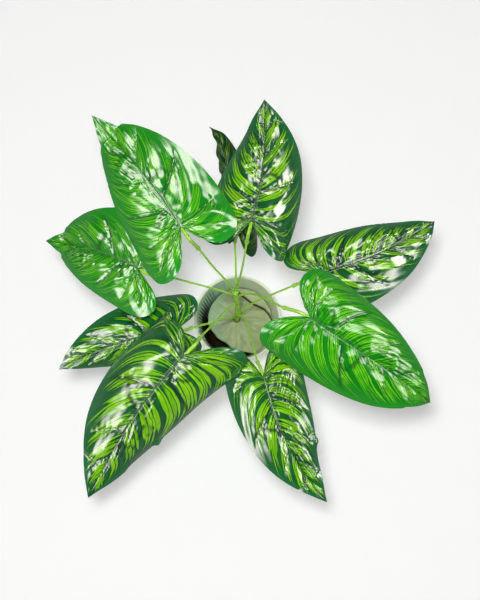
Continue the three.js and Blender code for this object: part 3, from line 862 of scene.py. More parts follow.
def midrib_frame(leaf, droop, x):
    """Directions along, across and up from the midrib at x, in units of the length."""
    forward = np.maximum(x, 0)
    crease = smoothstep(x, *TIP_CREASE)
    fall = droop * np.minimum(x, 0) / 0.3
    pitch = np.radians(leaf["pitch"] + leaf["arch"] * forward + leaf["tip_bend"] * crease + fall)
    heading = np.radians(leaf["heading"] + leaf["sweep"] * forward)
    roll = np.radians(leaf["roll"] + leaf["twist"] * forward)[:, None]
    tangent = np.c_[np.cos(heading) * np.cos(pitch), np.sin(heading) * np.cos(pitch),
                    -np.sin(pitch)]
    level = np.c_[-np.sin(heading), np.cos(heading), np.zeros(len(x))]
    upright = np.cross(tangent, level)
    across = level * np.cos(roll) + upright * np.sin(roll)
    normal = upright * np.cos(roll) - level * np.sin(roll)
    return tangent, across, normal


def midrib_place(leaf, droop, x):
    """Points on the midrib's course, which passes through the leaf's base at x = 0."""
    steps = 136
    step = (1 - LOBE_END) / steps
    middles = LOBE_END + (np.arange(steps) + 0.5) * step
    tangent = midrib_frame(leaf, droop, middles)[0]
    line = np.vstack([np.zeros(3), np.cumsum(tangent * step * leaf["length"], axis=0)])
    ends = LOBE_END + np.arange(steps + 1) * step

    def on_line(place):
        return np.c_[tuple(np.interp(place, ends, line[:, k]) for k in range(3))]
    return on_line(x) - on_line(np.zeros(1)) + np.array(leaf["base"], float)


def between_veins(along, signed):
    """Number of the pillow that a point lies on, with the share of the way across it."""
    outward = np.abs(signed)
    slot = np.zeros_like(along)
    share = np.zeros_like(along)
    for veins, half in zip(SIDE_VEINS, (signed >= 0, signed < 0)):
        places = [between(at_midrib, at_margin, outward) for at_midrib, at_margin in veins]
        for number, (low, high) in enumerate(zip(places[:-1], places[1:])):
            inside = half & (along >= low) & (along < high)
            slot[inside] = number
            share[inside] = ((along - low) / (high - low))[inside]
    return slot, share


class Spots:
    """Where the points of a blade's grid lie, in all the ways that its relief goes by."""

    def __init__(self, leaf, along, signed, flat):
        self.along, self.signed, self.flat = along, signed, flat
        self.length = leaf["length"]
        self.outward = np.abs(signed)
        self.level = along - FOLD_LEAN * self.outward
        self.from_midrib = np.abs(flat[:, 1]) * self.length
        self.left = signed > 0
        self.half = np.where(signed >= 0, 0.0, HALVES_APART)
        self.pillow, self.share = between_veins(along, signed)
        self.from_vein = np.minimum(self.share, 1 - self.share)
        # Both are 0 at the notch and the tip, and face also at the midrib and the margin
        self.fade = hump(along, 0, 0.1, 0.8, 1)
        self.face = hump(self.outward, 0.03, 0.15, 0.85, 1) * self.fade

    def from_mark(self, mark):
        """Distance in millimetres from a mark, given by its ways round and out."""
        place = flat_place(*(np.array([way]) for way in mark))
        return np.linalg.norm(self.flat - place, axis=1) * self.length


def swellings(leaf, look, spots, settings):
    """Height of the pillows between the side veins, of the margin's waves and of the blade
    over its sunken midrib, with the midrib's groove and, where it is glossy, its beads."""
    outward = spots.outward
    size = 1 + 0.35 * np.sin(spots.pillow * 2.7 + spots.half)
    pillow = np.sin(math.pi * spots.share) ** 0.85 * hump(outward, 0, 0.35, 0.6, 1.05) * size
    wave = np.where(spots.signed >= 0, *leaf["wave"])
    waves = wave * np.sin(2 * math.pi * (MARGIN_WAVES * spots.along + 0.15)) * outward ** 2
    shoulder = settings.shoulder / MM * smoothstep(outward, 0, 0.25)
    beads = look["shine"] * 0.5 * bell(spots.from_midrib - 2.2, 1)
    groove = (bell(spots.from_midrib, 0.8) - beads) * hump(spots.flat[:, 0], -0.02, 0.03, 0.9, 1)
    height = spots.fade * (settings.pillow / MM * pillow + waves + shoulder)
    return height - settings.groove / MM * groove


def fine_folds(spots, settings):
    """Height of the broad dents and, in patches beside the midrib, of the fine folds and
    swirls, and how deep their creases are."""
    outward, level, half = spots.outward, spots.level, spots.half
    dents = random_waves(level * 90 + half, outward * 18, DENT_SEED, 12, (0.5, 1.3))
    folds = random_waves(level * 260 + half, outward * 8, FOLD_SEED, 10, (0.6, 1.3))
    x, y = spots.flat.T
    patch = random_waves(x * 14 + half, y * 14, PATCH_SEED, 8, (0.5, 1.5))
    patch = smoothstep(patch, -0.4, 0.9)
    swirls = random_waves(level * 125 + half, outward * 28, SWIRL_SEED, 12, (0.6, 1.3))
    spread = 1 - smoothstep(outward, 0.08 + 0.25 * patch, 0.25 + 0.4 * patch)
    spread = spread * smoothstep(spots.from_midrib, 0.5, 3) * spots.fade * (0.3 + 0.7 * patch)
    folds = (0.4 * folds + 1.4 * swirls) * spread
    height = settings.dent / MM * dents * spots.face + settings.crinkle / MM * folds
    return height, 0.9 * smoothstep(-folds, 0.15, 1.1)


def vein_creases(spots, settings):
    """Height of the sharp creases along the side veins, of the zigzags beside them and of
    the crumpled band beside the midrib, and how deep the creases are."""
    outward = spots.outward
    zigzag = random_waves(outward * 60 + spots.half, spots.level * 60, ZIGZAG_SEED, 10, (0.6, 1.4))
    beside = bell(spots.from_vein, 0.16) * hump(outward, 0.05, 0.2, 0.6, 0.95) * spots.fade
    start, end = CRUMPLED
    band = hump(spots.along, start, start + 0.04, end - 0.04, end)
    band = 1.5 * band * hump(outward, 0.02, 0.05, 0.12, 0.2) * spots.left
    nearest = spots.pillow + (spots.share > 0.5)
    sharpness = np.where(nearest == SHARP_VEIN, 1.5, 0.6) * smoothstep(outward, 0.95, 0.6)
    valley = bell(spots.from_vein, 0.045) * spots.face * sharpness
    height = settings.crinkle / MM * zigzag * np.maximum(beside, band)
    return height - settings.vein / MM * valley, 0.75 * valley


def mould_marks(look, spots):
    """Height of the marks of the mould on the left half, which are rings round the lump, a
    dent with a rim, and folds like fingers, how deep the creases between the fingers are,
    and how far the lump bulges."""
    from_lump, from_dent = spots.from_mark(LUMP), spots.from_mark(DENT)
    rings = 0.65 * np.sin(from_lump * 2 * math.pi / RING_GAP) * bell(from_lump, RINGS_REACH)
    dent = 0.9 * bell(from_dent - DENT_RIM, 2.2) - 1.6 * bell(from_dent, DENT_REACH)
    lengthwise = (spots.level - FINGERS[0]) / FINGERS_REACH[0]
    crosswise = (spots.outward - FINGERS[1]) / FINGERS_REACH[1]
    fingers = look["fingers"] * np.exp(-lengthwise ** 4 - crosswise ** 4) * spots.left
    across = np.sin(2 * math.pi * (spots.outward / FINGER_WIDTH + 18 * spots.level))
    height = look["marks"] * spots.left * (rings + dent) + 1.1 * fingers * across
    bulge = look["lump"] * spots.left * bell(from_lump, LUMP_REACH)
    return height, fingers * smoothstep(-across, 0.2, 1), bulge


def relief(leaf, look, along, signed, flat, settings):
    """Height of a blade's relief in millimetres, how deep in a crease a point lies, from 0
    to 1, and how far the lump in the margin bulges. But for the margin's waves and what
    the leaf's own look sets it is the same on all leaves, which come from one mould."""
    spots = Spots(leaf, along, signed, flat)
    folds, fold_creases = fine_folds(spots, settings)
    veins, creases = vein_creases(spots, settings)
    marks, finger_creases, bulge = mould_marks(look, spots)
    height = swellings(leaf, look, spots, settings) + folds + veins + marks
    ridge = bell((flat[:, 0] - TIP_CREASE[0]) * leaf["length"], 1.1)
    height += 0.6 * ridge * (leaf["tip_bend"] < -10)
    crease = np.clip(np.maximum(fold_creases, creases), 0, 1)
    return height, np.maximum(crease, finger_creases), bulge


def folded_places(leaf, look, along, signed, settings):
    """Where the points of the flat blade lie on the leaf, in millimetres, and how deep in a
    crease they are. Each half is folded up or down at the midrib and curls on from there."""
    left = signed >= 0

    def pick(pair):
        return np.where(left, pair[0], pair[1])
    flat = flat_place(along, np.abs(signed))
    x = np.where(flat[:, 0] < 0, flat[:, 0] * pick(leaf["lobes"]), flat[:, 0])
    point = np.where(left[:, None], midrib_place(leaf, leaf["droop"][0], x),
                     midrib_place(leaf, leaf["droop"][1], x))
    _, across, normal = midrib_frame(leaf, pick(leaf["droop"]), x)
    fold, curl = np.radians(pick(leaf["fold"])), np.radians(pick(leaf["curl"]))
    arc = BLADE_HALF_WIDTH * leaf["length"] / curl
    # The outline narrows towards the crease near the tip, and then steps in
    step = 0.35 * smoothstep(flat[:, 0], 0.72, 0.8) + 0.65 * smoothstep(flat[:, 0], 0.79, 0.812)
    wide = pick(leaf["wide"]) * (1 - look["step"] * step)
    slope = fold - curl * flat[:, 1] * wide / BLADE_HALF_WIDTH
    sideways = arc * (np.sin(fold) - np.sin(slope)) * np.where(left, 1, -1)
    sideways += look["hook"] * smoothstep(flat[:, 0], 0.84, 1) ** 2
    sideways += look["ruffle"] * np.sin(50 * flat[:, 0]) * signed ** 2 * left
    height, crease, bulge = relief(leaf, look, along, signed, flat, settings)
    sideways += bulge
    rise = arc * (np.cos(slope) - np.cos(fold)) + height + bulge
    return point + sideways[:, None] * across + rise[:, None] * normal, crease


class ALOCASIA_OT_leaves(bpy.types.Operator):
    """Shape the nine blades from one flat grid, and give each its printed strokes"""

    bl_idname = "alocasia.leaves"
    bl_label = "Leaves"

    def execute(self, context):
        scene = context.scene
        settings = scene.alocasia_blades
        zebra = zebra_group()
        master, along, signed = blade_master(settings.columns, settings.rows)
        for number, (leaf, look) in enumerate(zip(LEAVES, LEAF_LOOKS), start=1):
            blade = bpy.data.objects.new(f"blade_{number}", master.data.copy())
            scene.collection.objects.link(blade)
            places, crease = folded_places(leaf, look, along, signed, settings)
            place_vertices(blade, places)
            # How deep in a crease each point lies, which the leaf's material darkens as painted
            # shade
            add_values(blade, "crease", crease)
            bpy.ops.object.select_all(action="DESELECT")
            blade.select_set(True)
            context.view_layer.objects.active = blade
            bpy.ops.object.mode_set(mode="EDIT")
            bpy.ops.mesh.select_all(action="SELECT")
            bpy.ops.mesh.remove_doubles(threshold=0.01 * MM)
            bpy.ops.object.mode_set(mode="OBJECT")
            bpy.ops.object.shade_smooth()
            apply_modifier(blade, "SOLIDIFY", thickness=BLADE_THICKNESS * MM, offset=0,
                           material_offset=1, material_offset_rim=0)
            bpy.ops.object.shade_smooth_by_angle(angle=math.radians(50))
            colours = scene.alocasia_bright if leaf["bright"] else scene.alocasia_dark
            finish_piece(blade, "bright_leaf" if leaf["bright"] else "dark_leaf", f"leaf_{number}",
                         leaf_finish(f"leaf {number}", colours, look, zebra, number),
                         underside_finish(f"leaf {number} back", colours))
        bpy.data.objects.remove(master)
        return {"FINISHED"}


# Stem, stalks and sleeves

def first_above(line, height):
    """Number of the first point of a rising line that is as high as this."""
    return np.argmax(line[:, 2] >= height)


def rib_line(leaf):
    """Points under the midrib, from just behind the blade's base to the rib's end."""
    x = np.array([place for place, _ in RIB_PLACES])
    lower = np.array([depth for _, depth in RIB_PLACES])
    radius = between(SLEEVE_RADIUS, RIB_END_RADIUS, smoothstep(x, 0, x[-1]))
    steepest = math.radians(min(0, *leaf["fold"]))
    depth = (BLADE_THICKNESS / 2 + 1.5 * GAP + radius) / math.cos(steepest) + lower
    normal = midrib_frame(leaf, leaf["droop"][0], x)[2]
    return midrib_place(leaf, leaf["droop"][0], x) - depth[:, None] * normal


def stalk_line(leaf, stem):
    """The dense course of a stalk and its sleeve, and the point number of the collar."""
    root = stem[first_above(stem, leaf["stalk_from"] - ROOT_DEPTH)]
    leave = stem[first_above(stem, leaf["stalk_from"])].copy()
    outward = np.array(leaf["stalk"][0], float) - leave
    outward[2] = 0
    leave += ROOT_OFFSET * outward / np.linalg.norm(outward)
    points = [root, leave, *leaf["stalk"], *rib_line(leaf)]
    line = bent_path(points)
    collar = round((len(leaf["stalk"]) + 1) / (len(points) - 1) * (len(line) - 1))
    return line, collar


def stem_body(line):
    """The stem, which tapers upwards and swells in a knot where each stalk leaves it."""
    rings, sides = STEM_MESH
    reach = distances(line)
    length = reach[-1]
    knots = [reach[first_above(line, leaf["stalk_from"])] - KNOT_DROP for leaf in LEAVES]
    profile = [(0, 0)]
    for place in np.linspace(0, length, rings):
        radius = between(*STEM_RADIUS, place / length)
        swell = max(bell(place - knot, KNOT_LENGTH) for knot in knots)
        profile.append((radius - STEM_WAIST + KNOT_HEIGHT * swell, place))
    profile.append((0, length + 0.6))
    stem = turned_body("stem_and_stalks", profile, sides)
    bend_along(stem, line)
    return stem


def stalk_body(name, line, collar):
    """A stalk from its thick root in the stem to its end in the sleeve's socket."""
    rings, sides = STALK_MESH
    to_collar = distances(line)[collar]
    length = to_collar + SOCKET_DEPTH - 2 * GAP
    profile = [(0, 0)]
    for place in np.linspace(0, length, rings):
        share = min(1, place / to_collar / STALK_TAPER)
        profile.append((between(STALK_ROOT_RADIUS, STALK_RADIUS, share), place))
    profile.append((0, length + 0.1))
    stalk = turned_body(name, profile, sides)
    bend_along(stalk, line)
    return stalk


def sleeve_body(name, line):
    """A sleeve with its socket and collar, which runs on as the tapering rib."""
    rings, sides = SLEEVE_MESH
    length = distances(line)[-1]
    socket = STALK_RADIUS + GAP
    profile = [(0, SOCKET_DEPTH), (socket, SOCKET_DEPTH), (socket, 0.4), *COLLAR]
    for share in np.linspace(0.08, 1, rings):
        slim = smoothstep(share, 0.35, 1)
        profile.append((between(SLEEVE_RADIUS, RIB_END_RADIUS, slim), share * length))
    profile.append((0, length + 0.3))
    sleeve = turned_body(name, profile, sides)
    bend_along(sleeve, np.vstack([line, 2 * line[-1] - line[-2]]))
    return sleeve


class ALOCASIA_OT_stalks(bpy.types.Operator):
    """Turn the stem, the nine stalks and their sleeves, and bend them to their courses"""

    bl_idname = "alocasia.stalks"
    bl_label = "Stem, stalks and sleeves"

    def execute(self, context):
        colours = context.scene.alocasia_stalks
        stalk_material = stalk_finish("stalk", colours, 0.53)
        sleeve_material = stalk_finish("sleeve", colours, 0.44)
        stem_line = bent_path(STEM_AXIS, 400)
        stem = stem_body(stem_line)
        pieces = [stem]
        for number, leaf in enumerate(LEAVES, start=1):
            line, collar = stalk_line(leaf, stem_line)
            pieces.append(stalk_body(f"stalk_{number}", line, collar))
            sleeve = sleeve_body(f"sleeve_and_rib_{number}", line[collar:])
            finish_piece(sleeve, "stalk", f"sleeve_{number}", sleeve_material)
        bpy.ops.object.select_all(action="DESELECT")
        for piece in pieces:
            piece.select_set(True)
        context.view_layer.objects.active = stem
        bpy.ops.object.join()
        finish_piece(stem, "stalk", "stems", stalk_material)
        return {"FINISHED"}


def stalk_finish(name, colours, patches_from):
    """Smooth moulded stalk with paler patches, faint lengthwise streaks, and painted shade in
    dark rings round the stem. The lower patches_from is, the more patches there are."""
    foot, top = np.array(STEM_AXIS[0]) * MM, np.array(STEM_AXIS[-1]) * MM
    lean = (top[1] - foot[1]) / (top[2] - foot[2])

    def build(n):
        place = n.place()
        cloud = n.noise(place, scale=160, detail=3)
        streak = n.streaks(place, slimness=0.12, scale=700, detail=2)
        patch = n.step(cloud, patches_from, 0.75, 0.0, 0.8)
        colour = n.mix(patch, colours.stalk, colours.knob)
        colour = n.mix(n.step(streak, 0.45, 0.7, 0.0, 0.35), colour, colours.streak)
        x, y, z = n.split(place)
        off_axis = n.distance(x - foot[0], y - (z * lean + (foot[1] - lean * foot[2])))
        # Painted shade: dark rings round the stem only
        ring = n.math("SINE", z * 650 + cloud * 7)
        ring_shade = n.step(ring, 0.1, 0.95) * n.step(off_axis, 8 * MM, 6 * MM)
        return {"Base Color": n.mix(ring_shade * 0.7, colour, colours.ring_shade),
                "Roughness": n.step(cloud, 0.3, 0.7, 0.28, 0.42),
                "Normal": n.bump(streak * 0.2 - ring_shade, 0.75 * MM, 0.5)}
    return principled(name, build)


# Pot

def pot_outer_radius(z):
    """Outer radius of the tapered pot at a height."""
    return between(POT_FOOT_RADIUS, POT_RIM_RADIUS, z / POT_HEIGHT)


def pot_profile():
    """Radius and height from the middle of the pot's underside over its foot ring, up the
    wall and round the rim, and down to the middle of its floor."""
    foot = POT_FOOT_RADIUS
    lip = POT_WALL / 2
    brim = POT_HEIGHT - lip
    profile = [(0, 1.2), (foot - 7, 1.2), (foot - 6, 0.2), (foot - 5.4, 0), (foot - 2, 0),
               (foot - 0.6, 0.5), (pot_outer_radius(2), 2)]
    profile += [(pot_outer_radius(z), z) for z in np.linspace(8, brim, 18)]
    for angle in np.linspace(20, 160, 7):
        turn = math.radians(angle)
        profile.append((POT_RIM_RADIUS - lip + lip * math.cos(turn), brim + lip * math.sin(turn)))
    profile += [(pot_outer_radius(z) - POT_WALL, z) for z in np.linspace(brim, POT_FLOOR + 3, 26)]
    return profile + [(pot_outer_radius(POT_FLOOR) - POT_WALL - 2, POT_FLOOR), (0, POT_FLOOR)]


class ALOCASIA_OT_pot(bpy.types.Operator):
    """Turn the thin-walled pot with its rounded rim and shallow flutes inside"""

    bl_idname = "alocasia.pot"
    bl_label = "Pot"

    def execute(self, context):
        settings = context.scene.alocasia_pot
        pot = turned_body("pot_shell", pot_profile(), POT_SIDES)
        places = vertex_places(pot)
        x, y, z = places.T
        radius = np.hypot(x, y)
        angle = np.arctan2(y, x)
        inner = radius < pot_outer_radius(z) - POT_WALL + 0.5
        fluted = inner * hump(z, *FLUTED_HEIGHTS) * hump(np.degrees(angle) % 360, *FLUTED_ARC)
        flutes = settings.flute / MM * fluted * np.sin(FLUTES * angle)
        wobble = 0.25 * random_waves(angle * 2, z / 18, POT_SEED, 8, (0.5, 1.5))
        grown = 1 + (flutes + wobble * smoothstep(z, 2, 20)) / np.maximum(radius, 20)
        places[:, :2] *= grown[:, None]
        place_vertices(pot, places)
        finish_piece(pot, "pot", "pot", pot_finish(settings))
        return {"FINISHED"}


def pot_finish(settings):
    """Weathered sage glaze with painted cool light on the left, painted light inside on the
    right, painted shade deep in the pocket and between the flutes, and worn pale along the
    rim."""
    taper = (POT_RIM_RADIUS - POT_FOOT_RADIUS) / POT_HEIGHT
    wall_middle = (POT_FOOT_RADIUS - 2.5) * MM

    def build(n):
        place = n.place()
        x, y, z = n.split(place)
        cloud = n.noise(place, scale=24, detail=4, roughness=0.6)
        streak = n.streaks(place, slimness=0.25, scale=90, detail=4, roughness=0.6)
        # Painted cool light on the left
        cool_light = x * -8 + y * 4 + cloud * 0.8
        colour = n.mix(n.step(cool_light, 0.15, 0.75, 0.0, 0.85), settings.glaze, settings.teal)
        colour = n.mix(n.step(streak, 0.5, 0.72, 0.0, 0.25), colour, settings.stain)
        inside = n.distance(x, y) - z * taper < wall_middle
        # Painted shade, brown, deep in the pocket between wall and filling
        deep = n.step(z + cloud * (20 * MM), 108 * MM, 82 * MM)
        in_pocket = n.step(x * -0.7 + y * -0.7, 5 * MM, 35 * MM)
        colour = n.mix(deep * inside * in_pocket, colour, settings.pocket)
        # Painted shade in dark lines between the flutes on the left
        between_flutes = n.step(n.math("SINE", n.math("ARCTAN2", y, x) * FLUTES), -0.3, 0.5)
        dark = between_flutes * inside * n.step(z, 112 * MM, 94 * MM, 0.0, 0.8)
        colour = n.mix(dark * n.step(x, -30 * MM, -45 * MM), colour, settings.pocket)
        # Painted light on the inside of the wall on the right
        painted_light = n.step(x + y * 0.6, -10 * MM, 40 * MM, 0.0, 0.65)
        colour = n.mix(painted_light * inside, colour, settings.rim)
        worn = n.step(z + (cloud - 0.5) * (4 * MM), 116.5 * MM, 118.5 * MM)
        return {"Base Color": n.mix(worn, colour, settings.rim),
                "Roughness": n.step(streak, 0.3, 0.7, 0.42, 0.62),
                "Normal": n.bump(streak * 0.6 + cloud * 0.4, 0.3 * MM, 0.5)}
    return principled("weathered glaze", build)


# Filling

def free_radius(z):
    """How far the filling can reach at a height and stay clear of the pot's wall."""
    return pot_outer_radius(z) - POT_WALL - 2 * GAP


def fill_reach(angle):
    """How far the lump reaches from the pot's axis at an angle."""
    count = len(FILL_REACH)
    place = (angle / (2 * math.pi)) % 1 * count
    slot = place.astype(int) % count
    table = np.array(FILL_REACH, float)
    return between(table[slot], table[(slot + 1) % count], smoothstep(place % 1, 0, 1))


def fill_profile():
    """Radius and height from the middle of the filling's underside up its side, over its
    rounded rim and in to the hole for the stem."""
    rim = FILL_TOP - FILL_BEVEL
    bottom = POT_FLOOR + GAP
    profile = [(0, bottom), (free_radius(bottom) - 3, bottom)]
    profile += [(free_radius(z), z) for z in (13, 24, FILL_STEP)]
    profile += [(FILL_RADIUS, z) for z in np.linspace(FILL_STEP + 1.5, rim, 22)]
    profile += [(FILL_RADIUS - 0.3, rim + 1), (FILL_RADIUS - 1, rim + 1.8),
                (FILL_RADIUS - 2, FILL_TOP - 0.1)]
    profile += [(radius, FILL_TOP) for radius in np.linspace(FILL_RADIUS - 3, STEM_HOLE, 62)]
    return profile + [(STEM_HOLE - 0.1, FILL_TOP - 2), (STEM_HOLE - 0.2, FILL_TOP - 5),
                      (0, FILL_TOP - 5.5)]


def distance_to_line(x, y, line):
    """Distance to a line in the plane, and on which side of it a point lies: positive on
    the right when going from its first point to its last."""
    best = np.full(len(x), np.inf)
    right = np.zeros(len(x))
    line = np.asarray(line, float)
    for start, end in zip(line[:-1], line[1:]):
        way = end - start
        t = np.clip(((x - start[0]) * way[0] + (y - start[1]) * way[1]) / (way @ way), 0, 1)
        away_x, away_y = x - start[0] - t * way[0], y - start[1] - t * way[1]
        away = np.hypot(away_x, away_y)
        turn = away_x * way[1] - away_y * way[0]
        right = np.where(away < best, np.sign(turn), right)
        best = np.minimum(best, away)
    return best, right


def fitted_outline(x, y, z, radius, angle):
    """The round lump's places, drawn in for the pocket and kept off the pot's wall, with
    its hole shifted to the stem."""
    raised = smoothstep(z, FILL_STEP + 0.5, FILL_STEP + 1.5)
    reach = fill_reach(angle)
    reach += FILL_FLARE * smoothstep(reach, 49, FILL_RADIUS) * smoothstep(z, 60, 74)
    outer = smoothstep(radius, STEM_HOLE, 50)
    scale = 1 + raised * outer * (reach / FILL_RADIUS - 1)
    stem_x, stem_y, _ = STEM_AXIS[1]
    shift = (1 - outer) * raised
    x, y = x * scale + stem_x * shift, y * scale + stem_y * shift
    fit = np.minimum(1, free_radius(z) / np.maximum(np.hypot(x, y), 1))
    return x * fit, y * fit, raised


class ALOCASIA_OT_filling(bpy.types.Operator):
    """Turn the cast filling and shape its lump, its cove and the crevice between them"""

    bl_idname = "alocasia.filling"
    bl_label = "Filling"

    def execute(self, context):
        settings = context.scene.alocasia_pot
        filling = turned_body("cast_filling", fill_profile(), FILL_SIDES)
        x, y, z = vertex_places(filling).T
        radius = np.hypot(x, y)
        angle = np.arctan2(y, x)
        x, y, raised = fitted_outline(x, y, z, radius, angle)
        away, right = distance_to_line(x, y, CREVICE)
        beyond = np.where(right < 0, away, 0)
        top = smoothstep(z, FILL_TOP - 4, FILL_TOP)
        crevice = top * bell(away, CREVICE_WIDTH)
        cove = COVE_SLOPE * np.minimum(beyond, COVE_WIDTH)
        dome = FILL_DOME * smoothstep(np.clip(1 - radius / FILL_RADIUS, 0, 1), 0, 0.4)
        dome = dome * (radius > STEM_HOLE - 0.05)
        rough = 0.35 * random_waves(x / 6, y / 6, LUMP_SEED, 14, (0.5, 1.8))
        brushed = 0.12 * random_waves(angle * 26, radius / 14, BRUSH_SEED, 12, (0.5, 1.6))
        brushed = brushed * smoothstep(radius, 8, 20)
        z = z + top * (dome + cove + rough + brushed) - CREVICE_DEPTH * crevice
        side = raised * (1 - top) * (1 - smoothstep(radius, 51.5, 52))
        ripple = 0.5 * random_waves(angle * 5, z / 9, SIDE_SEED, 12, (0.5, 1.6)) * side
        shrink = 1 - np.abs(ripple) / np.maximum(radius, 20)
        place_vertices(filling, np.c_[x * shrink, y * shrink, z])
        add_values(filling, "crevice", crevice)
        add_values(filling, "cove", top * smoothstep(beyond, 0, 4))
        finish_piece(filling, "filling", "potting_fill", filling_finish(settings))
        return {"FINISHED"}


def filling_finish(settings):
    """Matt cast filling with brushed stains that run outward from the stem, pale patches,
    painted cool light on its left side, a paler cove, and painted shade in the crevice and
    down the sides."""
    def build(n):
        place = n.place()
        x, y, z = n.split(place)
        y = y - STEM_AXIS[1][1] * MM
        angle = n.math("ARCTAN2", y, x)
        outward = n.vector(angle * 3.2, n.distance(x, y) * 26, z)
        brushed = n.noise(outward, scale=1.6, detail=4, roughness=0.62)
        cloud = n.noise(place, scale=46, detail=5, roughness=0.62)
        colour = n.mix(n.step(brushed, 0.42, 0.66, 0.0, 0.5), settings.filling, settings.stain)
        colour = n.mix(n.step(cloud, 0.5, 0.72, 0.0, 0.6), colour, settings.bloom)
        # Painted cool light on the left side
        cool_light = n.step(x + cloud * (30 * MM), 12 * MM, -25 * MM, 0.0, 0.35)
        colour = n.mix(cool_light, colour, settings.teal)
        colour = n.mix(n.values("cove") * 0.75, colour, settings.glaze)
        # Painted shade in the crevice and down the sides below the top
        crevice = n.math("MULTIPLY", n.values("crevice"), 1.3, clamp=True)
        colour = n.mix(crevice, colour, settings.pocket)
        colour = n.mix(n.step(z, 74.2 * MM, 70.2 * MM), colour, settings.pocket)
        return {"Base Color": colour,
                "Roughness": n.step(cloud, 0.3, 0.7, 0.72, 0.9),
                "Normal": n.bump(brushed + cloud * 0.7, 0.6 * MM, 0.6)}
    return principled("cast filling", build)


# Stage

# Each light's way from the plant, with its distance, size in metres and power. The key
# light lights the plant and the floor, and the softboxes only show in the gloss.
KEY_LIGHT = dict(name="key", way=(-0.03, -0.13, 1), away=1.5, size=(0.13, 0.13), power=18.5)
SOFTBOXES = [
    dict(name="left back", way=(-0.5, 0.62, 0.6), away=2.2, size=(1.7, 1.4), power=75),
    dict(name="left", way=(-0.92, 0.05, 0.4), away=2.2, size=(1.25, 1.95), power=78),
    dict(name="left front", way=(-0.45, -0.5, 0.74), away=2.2, size=(1.25, 1.4), power=58),
    dict(name="left low", way=(-0.75, -0.6, 0.16), away=2.0, size=(1.95, 1.25), power=78),
    dict(name="right", way=(0.6, 0.2, 0.77), away=2.2, size=(1.25, 1.7), power=68),
    dict(name="right low", way=(0.9, -0.35, 0.3), away=2.1, size=(1.8, 1.45), power=85),
    dict(name="right back", way=(0.93, 0.37, 0.26), away=2.2, size=(1.4, 0.95), power=62),
    dict(name="back", way=(0.2, 0.9, 0.4), away=2.2, size=(2.1, 0.85), power=58),
]
SOFTBOX_TINT = (1, 0.91, 0.89)
# Height over the floor that the lights are turned to
AIM_HEIGHT = 0.4
# Share of a softbox's width over which it fades out, and how bright its middle is for that
SOFT_EDGE = 0.4
SOFT_GAIN = 1.6
FLOOR_SIZE = 60
# How far the floor lies below the pot's foot, so that the two never share a plane
FLOOR_DROP = 0.0004
# How much the floor glows by itself, and how much more it does far from the plant, where
# the key light no longer reaches, with the distances between which that grows
FLOOR_GLOW = 0.27
FAR_GLOW = 2.7
FAR_FROM = (0.4, 3.2)
# Brightness of the room as light, how much more the camera sees, and how much less shows
# in the gloss
ROOM_LIGHT, ROOM_SEEN, ROOM_GLOSS = 0.3, 0.6, 0.18
CAMERA_PLACE = (0.00371, -0.2661, 1.7831)
CAMERA_SENSOR = 36


class ALOCASIA_OT_stage(bpy.types.Operator):
    """Lay the pale floor, hang the soft lights and set the camera"""

    bl_idname = "alocasia.stage"
    bl_label = "Stage"

    def execute(self, context):
        scene = context.scene
        settings = scene.alocasia_stage
        bpy.ops.object.select_all(action="DESELECT")
        bpy.ops.mesh.primitive_plane_add(size=FLOOR_SIZE, location=(0, 0, -FLOOR_DROP))
        floor = context.object
        floor.name = "floor"
        bpy.ops.object.transform_apply(location=True, rotation=True, scale=True)
        floor.data.materials.append(floor_finish(settings))
        hang_light(KEY_LIGHT, False)
        for light in SOFTBOXES:
            hang_light(light, True)
        pale_world(scene)
        bpy.ops.object.camera_add(location=CAMERA_PLACE, rotation=(settings.tilt, 0, 0))
        camera = context.object
        camera.data.lens = settings.lens
        camera.data.sensor_width = CAMERA_SENSOR
        camera.data.clip_end = 50
        scene.camera = camera
        scene.view_settings.view_transform = "Standard"
        return {"FINISHED"}


def hang_light(light, softbox):
    """Hangs a light, turned to the plant. A softbox shows only in the gloss, and any other
    light in all but the gloss."""
    way = Vector(light["way"]).normalized()
    place = way * light["away"] + Vector((0, 0, AIM_HEIGHT))
    bpy.ops.object.light_add(type="AREA", location=place)
    lamp = bpy.context.object
    lamp.name = f"{light['name']} light"
    lamp.data.shape = "RECTANGLE"
    lamp.data.size, lamp.data.size_y = light["size"]
    lamp.data.energy = light["power"]
    lamp.visible_glossy = softbox
    lamp.visible_diffuse = not softbox
    lamp.rotation_euler = way.to_track_quat("Z", "Y").to_euler()
    if softbox:
        lamp.data.color = SOFTBOX_TINT
        soften(lamp.data)


def soften(light):
    """Lets a softbox fade out towards its edges, so that highlights have soft edges too."""
    light.use_nodes = True
    n = Nodes(light.node_tree)
    x, y, _ = n.split(n.add("ShaderNodeNewGeometry", output="Parametric"))
    fade = SOFT_GAIN
    for side in (x, y):
        fade = n.step(abs(side - 0.5), 0.5, 0.5 - SOFT_EDGE) * fade
    glow = n.add("ShaderNodeEmission", {"Color": (1, 1, 1), "Strength": fade})
    output = light.node_tree.nodes.new("ShaderNodeOutputLight")
    light.node_tree.links.new(glow.socket, output.inputs[0])


def floor_finish(settings):
    """Pale matt paper with a barely visible tooth, which glows by itself as painted light,
    more so far from the plant, and is dim in the gloss.
    """
    def build(n):
        place = n.place()
        tooth = n.noise(place, scale=60, detail=5, roughness=0.6)
        colour = n.mix(n.step(tooth, 0.3, 0.7, 0.0, 0.04), settings.floor, settings.tooth)
        glossy = n.add("ShaderNodeLightPath", output="Is Glossy Ray")
        colour = n.mix(glossy * 0.8, colour, (0, 0, 0))
        x, y, _ = n.split(place)
        glow = n.mix(n.step(n.distance(x, y), *FAR_FROM), (1, 1, 1), (FAR_GLOW,) * 3)
        return {"Base Color": colour,
                "Emission Color": n.mix(1.0, colour, glow, "MULTIPLY"),
                "Roughness": n.step(tooth, 0.3, 0.7, 0.9, 0.98)}
    material = principled("pale floor", build)
    shader = material.node_tree.nodes["Principled BSDF"]
    shader.inputs["Emission Strength"].default_value = FLOOR_GLOW
    return material


